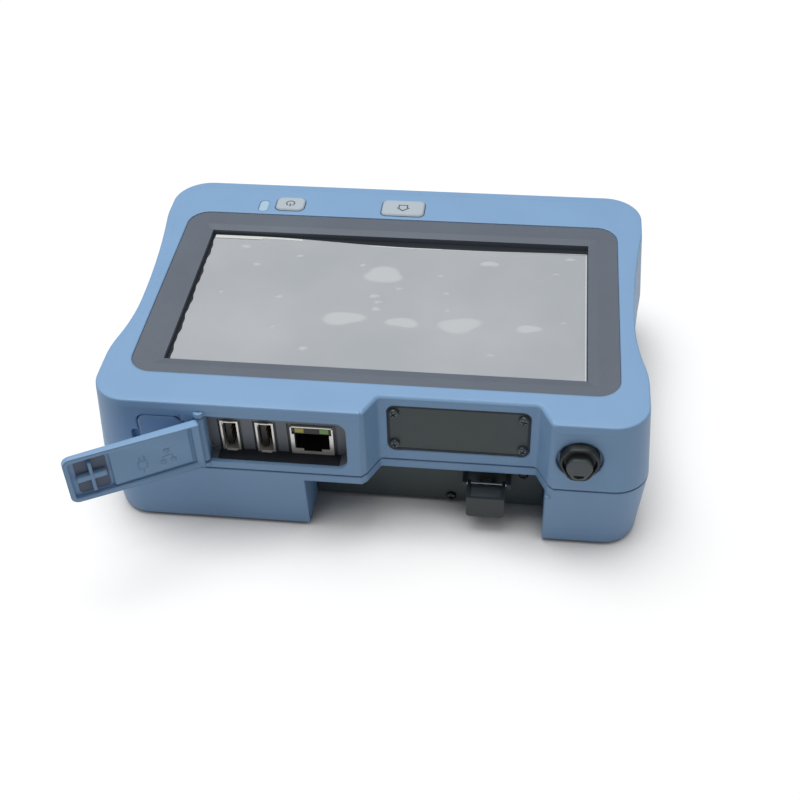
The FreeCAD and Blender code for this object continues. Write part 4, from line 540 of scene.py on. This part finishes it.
def ring_loop(radius, width, start, end, steps=28):
    """An open ring from one angle to another, in degrees."""
    outer, inner = [], []
    for step in range(steps + 1):
        angle = math.radians(start + (end - start) * step / steps)
        outer.append(((radius + width / 2) * math.cos(angle),
                      (radius + width / 2) * math.sin(angle)))
        inner.append(((radius - width / 2) * math.cos(angle),
                      (radius - width / 2) * math.sin(angle)))
    return outer + inner[::-1]


def mark(name, node, body, loops, scale):
    """A thin printed sign in the middle of a key."""
    low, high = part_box(node)
    middle = Vector(((low.x + high.x) / 2, (low.y + high.y) / 2, high.z))
    form = bmesh.new()
    for loop in loops:
        prism([(u * scale, v * scale) for u, v in loop], -0.02, 0.03, form=form)
    mesh = mesh_of(form)
    mesh.transform(Matrix.Translation(middle))
    piece(name, mesh, "print_grey", body, smooth=False)


def make_key_signs():
    """The power sign and the house, on their keys."""
    bar = [(-0.16, -1.35), (0.16, -1.35), (0.16, -0.1), (-0.16, -0.1)]
    mark("power_sign", "power_button", "power_button",
         [ring_loop(1.0, 0.3, -60, 240), bar], 1.7)
    house = [(-1.0, 1.0), (-1.0, -0.1), (-1.45, -0.1), (0, -1.35), (1.45, -0.1), (1.0, -0.1),
             (1.0, 1.0)]
    inner = [(u * 0.72, v * 0.72 + 0.03) for u, v in house]
    frame_loops = []
    for n in range(len(house)):
        after = (n + 1) % len(house)
        frame_loops.append([house[n], house[after], inner[after], inner[n]])
    mark("home_sign", "home_button", "home_button", frame_loops, 2.0)


# ---------------------------------------------------------------- screws


def screw_head(radius, height, recess):
    """A domed head with a cross recess, its seat at the origin."""
    profile = [(radius * 0.99, 0.0), (radius, height * 0.25), (radius * 0.94, height * 0.6),
               (radius * 0.78, height * 0.85), (radius * 0.5, height * 0.97),
               (radius * 0.2, height)]
    head = mesh_of(lathe(profile, 40))
    cutter = bmesh.new()
    wide, long = radius * 0.13, radius * 0.62
    prism([(-long, -wide), (-wide, -wide), (-wide, -long), (wide, -long), (wide, -wide),
           (long, -wide), (long, wide), (wide, wide), (wide, long), (-wide, long),
           (-wide, wide), (-long, wide)], height - recess, height + 1, form=cutter)
    return carved(head, mesh_of(cutter))


def corners_of(node, inset, level, plane="XY"):
    """Middles of four screws that stand in a rectangle, from their node's box."""
    low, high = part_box(node)
    inset *= MM
    spots = []
    for x in (low.x + inset, high.x - inset):
        if plane == "XY":
            spots += [Vector((x, y, level)) for y in (low.y + inset, high.y - inset)]
        else:
            spots += [Vector((x, level, z)) for z in (low.z + inset, high.z - inset)]
    return spots


def make_screws():
    """Screw heads with cross recesses, on the plates, the battery door and the case."""
    head = screw_head(1.9, 1.5, 0.7)
    plate_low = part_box("option_plate")[0]
    spots = corners_of("option_plate_screws", 1.9, plate_low.y, "XZ")
    turns = [Matrix.Rotation(math.radians(angle), 4, "Z") for angle in (12, 35, 61, 80)]
    option = piece("option_screws", copies(head, [
        stood(spot, FORWARD) @ turn for spot, turn in zip(spots, turns)]), "screw_grey")
    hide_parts("option_plate_screws")
    port_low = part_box("optical_port_screws")[0]
    face = port_low.y + 1.6 * MM
    spots = [Vector((x * MM, face, z * MM)) for x, z in ((29.1, 4.4), (56.1, 18.4), (-16, 11.4))]
    port = piece("port_screws", copies(head, [
        stood(spot, FORWARD) @ turn for spot, turn in zip(spots, turns)]), "screw_black")
    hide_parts("optical_port_screws")
    flat = screw_head(1.9, 0.65, 0.45)
    base = shell_low.z
    spots = corners_of("battery_door_screws", 1.9, base + 0.75 * MM)
    door = piece("door_screws", copies(flat, [
        stood(spot, DOWNWARD) @ turn for spot, turn in zip(spots, turns)]), "screw_black")
    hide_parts("battery_door_screws")
    large = screw_head(2.7, 2.3, 1.2)
    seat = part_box("case_screws")[0].z + 2.4 * MM
    spots = corners_of("case_screws", 2.7, seat)
    piece("case_screw_heads", copies(large, [
        stood(spot, DOWNWARD) @ turn for spot, turn in zip(spots, turns)]), "screw_black")


# ---------------------------------------------------------------- ports


PANEL_FACE = -63.05               # front of the port panel along Y, in the case's own frame
SOCKET_BASE = 34.9                # the sockets' and the flap's lower side, in the same frame


def slab(form, left, right, near, far, low, high):
    """A block between six planes of the case's own frame, in millimetres."""
    corner_low, corner_high = at(left, near, low) / MM, at(right, far, high) / MM
    prism([(corner_low.x, corner_low.y), (corner_high.x, corner_low.y),
           (corner_high.x, corner_high.y), (corner_low.x, corner_high.y)],
          corner_low.z, corner_high.z, form=form)


def make_port_window():
    """Grey sleeve of the port window, with a dark floor: a thin black liner, partly a black gasket and
    partly painted shade of the deep window.

    At the hinge it stays behind the root of the shut flap, which is square there.
    """
    left, right, low, high = -57.47, -6.53, 34.43, 55.77
    sheet, corner = 0.15, 4.0
    back, flap_root, front = 0.05, 1.4, 5.3          # in front of the port panel
    half_x, half_z = (right - left) / 2, (high - low) / 2
    outer = rounded(-half_x, -half_z, half_x, half_z, corner)
    inner = rounded(sheet - half_x, sheet - half_z, half_x - sheet, half_z - sheet,
                    corner - sheet)
    form = band(outer, inner, back, flap_root)
    start, free_end = 0.4 - half_x, len(outer) // 2
    prism([(start, -half_z)] + outer[:free_end] + [(start, half_z), (start, half_z - sheet)]
          + inner[:free_end][::-1] + [(start, sheet - half_z)], flap_root, front, form=form)
    mesh = mesh_of(form)
    mesh.transform(stood(at((left + right) / 2, PANEL_FACE, (low + high) / 2), FORWARD))
    piece("window_sleeve", mesh, "panel_grey")
    # The dark floor slab is partly a black gasket and partly painted shade where the window is deep.
    form = bmesh.new()
    slab(form, left + 3.2, right - 3.2, -68.5, PANEL_FACE, low + sheet, low + sheet + 0.12)
    piece("window_floor_liner_and_shade", mesh_of(form), "soft_black", smooth=False)


def make_usb_details():
    """Springs and contacts inside the two USB sockets."""
    lips = bmesh.new()
    strips = bmesh.new()
    for x in (-49.9, -37.05):
        middle = SOCKET_BASE + 13.5 / 2
        for side in (-1, 1):
            edge = middle + side * 6.9
            low, high = sorted((edge, edge + side * 0.45))
            slab(lips, x - 1.9, x + 1.9, -64.1, -63.55, low, high)
            low, high = sorted((middle + side * 5.2, middle + side * 6.45))
            slab(lips, x - 2.5, x - 2.2, -63.3, -58, low, high)
        for n in (-1.5, -0.5, 0.5, 1.5):
            z = middle + n * 2.5
            slab(strips, x + 0.3, x + 0.42, -62.0, -54.0, z - 0.5, z + 0.5)
    piece("usb_springs", mesh_of(lips), "port_steel", smooth=False)
    piece("usb_contacts", mesh_of(strips), "contact_gold", smooth=False)


def make_ethernet_face():
    """Steel face of the modular socket: two jambs and a sill with the latch's gap."""
    x, low = -19.95, SOCKET_BASE
    near, far = -63.75, -63.5
    form = bmesh.new()
    for side in (-1, 1):
        outer, inner = sorted((x + side * 7.75, x + side * 6.35))
        slab(form, outer, inner, near, far, low + 0.05, low + 9.6)
        jamb, edge = sorted((x + side * 7.75, x + side * 7.2))
        slab(form, jamb, edge, near, far, low + 9.6, low + 13.35)
        gap, end = sorted((x + side * 3.3, x + side * 6.35))
        slab(form, gap, end, near, far, low + 0.05, low + 2.6)
        slab(form, *sorted((x + side * 3.3, x)), near, far, low + 0.05, low + 1.4)
    slab(form, x - 7.75, x + 7.75, near, far, low + 12.9, low + 13.38)
    piece("ethernet_face", mesh_of(form), "port_steel", smooth=False)
    for side, name in ((-1, "lamp_amber"), (1, "lamp_green")):
        form = bmesh.new()
        middle = x + side * 4.5
        slab(form, middle - 1.55, middle + 1.55, -63.2, -62.9, low + 10.15, low + 12.05)
        colour = name.removeprefix("lamp_")
        piece(f"link_lens_{colour}", mesh_of(form), name, smooth=False)


def make_option_rim():
    """Dark edge all round the option plate."""
    low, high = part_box("option_plate")
    wide, corner = 0.9, 3.0
    half_x, half_z = (high.x - low.x) / 2 / MM, (high.z - low.z) / 2 / MM
    outer = rounded(-half_x, -half_z, half_x, half_z, corner)
    inner = rounded(wide - half_x, wide - half_z, half_x - wide, half_z - wide, corner - wide)
    mesh = mesh_of(band(outer, inner, 0.02, 0.1))
    middle = Vector(((low.x + high.x) / 2, low.y, (low.z + high.z) / 2))
    mesh.transform(stood(middle, FORWARD))
    piece("option_rim", mesh, "soft_black", smooth=False)


# ---------------------------------------------------------------- flap


FLAP_SWING = math.radians(-150.67)    # from shut to standing open
FLAP_PIVOT = at(-58.3, -69.0, SOCKET_BASE)


def on_flap(x, y, z):
    """A point of the flap, along it from its pivot, through it and up it, in millimetres."""
    turned = Matrix.Rotation(FLAP_SWING, 3, "Z") @ Vector((x, y, z))
    return FLAP_PIVOT + turned * MM


def flap_block(form, loop, low, high):
    """A loop of (along, up) on the flap, drawn through it from one level to another."""
    lower = [form.verts.new(on_flap(u, low, v)) for u, v in loop]
    upper = [form.verts.new(on_flap(u, high, v)) for u, v in loop]
    form.faces.new(lower)
    form.faces.new(upper[::-1])
    for n in range(len(loop)):
        after = (n + 1) % len(loop)
        form.faces.new((lower[n], upper[n], upper[after], lower[after]))


FLAP_OUTER, FLAP_INNER = 0.15, 4.35   # faces of the CAD flap, from its pivot's line
FLAP_SHARE = 0.6                      # of its thickness that the finished flap has


def flap_level(y):
    """Where a level of the CAD flap comes to lie in the finished one."""
    return FLAP_OUTER + (y - FLAP_OUTER) * FLAP_SHARE


def make_flap():
    """The port flap with its slim rim, and the darker floor of its latch bay."""
    mesh = nodes["port_flap"].data.copy()
    shut = Matrix.Rotation(-FLAP_SWING, 3, "Z")
    for vertex in mesh.vertices:
        x, y, z = (shut @ (vertex.co - FLAP_PIVOT)) / MM
        slim = smooth_step(x, 1.3, 3.2)
        vertex.co = on_flap(x, y + slim * (flap_level(y) - y), z)
    flap = piece("slim_flap", mesh, "shell_blue", "port_flap")
    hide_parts("port_flap")

    floor = flap_level(FLAP_INNER - 2.6)
    form = bmesh.new()
    flap_block(form, rounded(34.6, 2.6, 45.8, 17.8, 1.5), floor - 0.04, floor + 0.04)
    piece("latch_bay_floor", mesh_of(form), "bay_grey", "port_flap", smooth=False)


def make_flap_signs():
    """Faint raised signs of the ports on the flap's inner pad."""
    form = bmesh.new()
    surface = flap_level(FLAP_INNER)

    def raised(loop, height=0.05):
        flap_block(form, loop, surface - height, surface + height)

    def bar(x0, z0, x1, z1):
        raised([(x0, z0), (x1, z0), (x1, z1), (x0, z1)])

    for x, z in ((12.0, 7.0), (15.6, 7.0), (13.8, 12.0)):
        raised(rounded(x - 1.1, z - 0.9, x + 1.1, z + 0.9, 0.3, 3))
    bar(13.65, 9.6, 13.95, 11.1)
    bar(12.0, 9.4, 15.6, 9.7)
    bar(11.85, 7.9, 12.15, 9.4)
    bar(15.45, 7.9, 15.75, 9.4)
    raised(rounded(21.0, 6.6, 24.6, 10.6, 0.5, 3))
    bar(21.7, 10.6, 22.3, 12.6)
    bar(23.3, 10.6, 23.9, 12.6)
    bar(22.6, 4.6, 23.0, 6.6)
    piece("flap_signs", mesh_of(form), "shell_blue", "port_flap", smooth=False)


# ---------------------------------------------------------------- stylus


def shield(half_wide, half_tall, steps=5):
    """Shield-shaped loop with rounded corners, flat on top, narrowing below."""
    corners = [(-0.46, -1.0), (0.46, -1.0), (0.97, -0.1), (0.97, 0.35), (0.58, 1.0),
               (-0.58, 1.0), (-0.97, 0.35), (-0.97, -0.1)]
    loop = []
    count = len(corners)
    for n, (x, z) in enumerate(corners):
        before, after = corners[n - 1], corners[(n + 1) % count]
        start = (x + (before[0] - x) * 0.32, z + (before[1] - z) * 0.32)
        end = (x + (after[0] - x) * 0.32, z + (after[1] - z) * 0.32)
        for step in range(steps):
            t = step / (steps - 1)
            u = (1 - t) ** 2 * start[0] + 2 * t * (1 - t) * x + t * t * end[0]
            v = (1 - t) ** 2 * start[1] + 2 * t * (1 - t) * z + t * t * end[1]
            loop.append((u * half_wide, v * half_tall))
    return loop


def make_stylus_head():
    """Knob of the stylus: a dark cup that nearly fills its dish, with a paler tab in it."""
    low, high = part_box("stylus_head")
    middle = (low + high) / 2
    half = (high.x - low.x) / 2 / MM
    depth = (high.y - low.y) / MM

    def ring(share, half_wide, half_tall, drop=0.0):
        y = high.y - depth * share * MM
        return [Vector((middle.x + u * MM, y, middle.z + (v - drop) * MM))
                for u, v in shield(half_wide, half_tall)]

    cup = [ring(share, half * wide, half * tall) for share, wide, tall in (
        (0.0, 1.02, 1.08), (0.1, 1.08, 1.16), (0.5, 1.08, 1.16), (0.6, 1.05, 1.13),
        (0.62, 1.0, 1.08), (0.6, 0.94, 1.02), (0.35, 0.88, 0.96))]
    stylus = piece("stylus_cup", mesh_of(skin(cup)), "stylus_black", "stylus")
    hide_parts("stylus_head")

    tab_wide, tab_tall, drop = 4.6, 4.7, 1.3
    tab = mesh_of(skin([ring(share, tab_wide * size, tab_tall * size, drop)
                        for share, size in ((0.3, 1.06), (0.68, 1.03), (0.74, 1.0),
                                            (0.765, 0.95), (0.77, 0.88))]))
    cutter = bmesh.new()
    prism([(1.9 * math.cos(math.radians(angle)), 1.5 * math.sin(math.radians(angle)))
           for angle in range(180, 361, 15)], -1.0, 2.2, form=cutter)
    slot = mesh_of(cutter)
    slot.transform(stood(Vector((middle.x, high.y - depth * 0.77 * MM, middle.z - 3.7 * MM)),
                         FORWARD))
    piece("stylus_tab", carved(tab, slot), "stylus_face", "stylus")


# ---------------------------------------------------------------- dust cap


def make_cap_panel():
    """A paler panel let into the cap's top."""
    low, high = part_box("dust_cap")
    middle = (low.x + high.x) / 2 / MM
    near, top = low.y / MM, high.z / MM
    form = prism(rounded(middle - 5.5, near + 1.5, middle + 5.5, near + 7.4, 0.5),
                 top - 0.85, top - 0.62, 0.08)
    piece("cap_panel", mesh_of(form), "cap_grey", "dust_cap")


make_case_edges()
make_screen()
make_key_signs()
make_screws()
make_port_window()
make_usb_details()
make_ethernet_face()
make_option_rim()
make_flap()
make_flap_signs()
make_stylus_head()
make_cap_panel()


# ---------------------------------------------------------------- stage, lights, camera


def make_floor():
    """White floor. To the eye it shines a little by itself, but not close under the object: there the
    glow fades, a painted shadow around and under the object.
    """
    mesh = bpy.data.meshes.new("floor")
    reach = 4.0
    mesh.from_pydata(
        [(-reach, -reach, 0), (reach, -reach, 0), (reach, reach, 0), (-reach, reach, 0)],
        [], [(0, 1, 2, 3)])
    floor = bpy.data.objects.new("floor", mesh)
    bpy.context.scene.collection.objects.link(floor)
    shader = Shader("floor_white", (0.5, 0.5, 0.5, 1), 0.9)
    path = shader.add("ShaderNodeLightPath")
    looked_at = shader.add("ShaderNodeMath", operation="MAXIMUM")
    shader.link(path.outputs["Is Camera Ray"], looked_at.inputs[0])
    shader.link(path.outputs["Is Glossy Ray"], looked_at.inputs[1])
    seen = shader.add("ShaderNodeMath", operation="MAXIMUM")
    shader.link(looked_at.outputs["Value"], seen.inputs[0])
    shader.link(path.outputs["Is Transmission Ray"], seen.inputs[1])
    shader.link(shader.ramp(seen.outputs["Value"], 0.0, 1.0, (0.65, 0.65, 0.66, 1),
                            (0.48, 0.48, 0.48, 1)), shader.surface.inputs["Base Color"])
    # Painted shadow: ambient occlusion dims the floor's glow where the object is near.
    painted_shadow_openness = shader.add("ShaderNodeAmbientOcclusion", samples=12)
    painted_shadow_openness.inputs["Distance"].default_value = 0.035
    own = shader.add("ShaderNodeMapRange")
    own.inputs["From Min"].default_value = 0.25
    own.inputs["From Max"].default_value = 0.85
    own.inputs["To Max"].default_value = 0.56
    shader.link(painted_shadow_openness.outputs["AO"], own.inputs["Value"])
    strength = shader.add("ShaderNodeMath", operation="MULTIPLY")
    shader.link(seen.outputs["Value"], strength.inputs[0])
    shader.link(own.outputs["Result"], strength.inputs[1])
    shader.set("Emission Color", (1, 1, 1, 1))
    shader.link(strength.outputs["Value"], shader.surface.inputs["Emission Strength"])
    mesh.materials.append(shader.material)


def make_light(name, place, target, size, power):
    light = bpy.data.lights.new(name, "AREA")
    light.shape = "DISK"
    light.size = size
    light.energy = power
    thing = bpy.data.objects.new(name, light)
    thing.location = place
    aim = Vector(target) - Vector(place)
    thing.rotation_euler = aim.to_track_quat("-Z", "Y").to_euler()
    bpy.context.scene.collection.objects.link(thing)


def make_world(strength):
    """White for the camera, and an even dimmer light for the object."""
    world = bpy.data.worlds.new("studio")
    world.use_nodes = True
    bpy.context.scene.world = world
    tree = world.node_tree
    background = tree.nodes["Background"]
    background.inputs["Color"].default_value = (1, 1, 1, 1)
    path = tree.nodes.new("ShaderNodeLightPath")
    level = tree.nodes.new("ShaderNodeMapRange")
    level.inputs["To Min"].default_value = strength
    level.inputs["To Max"].default_value = 1.0
    tree.links.new(path.outputs["Is Camera Ray"], level.inputs["Value"])
    tree.links.new(level.outputs["Result"], background.inputs["Strength"])


def make_camera():
    """The camera's place and tilt, from the middle of the case's face."""
    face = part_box("front_shell")[1].z
    place = at(55.22, -371.63, 289.40) + Vector((0, 0, face))
    elevation, yaw, roll = (math.radians(angle) for angle in (42.663, -7.920, -2.0875))
    right = Vector((math.cos(yaw), -math.sin(yaw), 0))
    ahead = Vector((math.sin(yaw) * math.cos(elevation), math.cos(yaw) * math.cos(elevation),
                    -math.sin(elevation)))
    down = ahead.cross(right)
    tilted_right = right * math.cos(roll) - down * math.sin(roll)
    tilted_down = right * math.sin(roll) + down * math.cos(roll)
    turn = Matrix((tilted_right, -tilted_down, -ahead)).transposed()
    camera = bpy.data.cameras.new("camera")
    camera.lens = 55.39
    camera.sensor_width = 36.0
    thing = bpy.data.objects.new("camera", camera)
    thing.matrix_world = Matrix.Translation(place) @ turn.to_4x4()
    bpy.context.scene.collection.objects.link(thing)
    bpy.context.scene.camera = thing


make_floor()
make_light("key", (-0.3, 0.25, 2.0), target=(0, 0, 0.03), size=1.5, power=34)
make_world(0.24)
make_camera()
bpy.context.scene.view_settings.view_transform = "Standard"
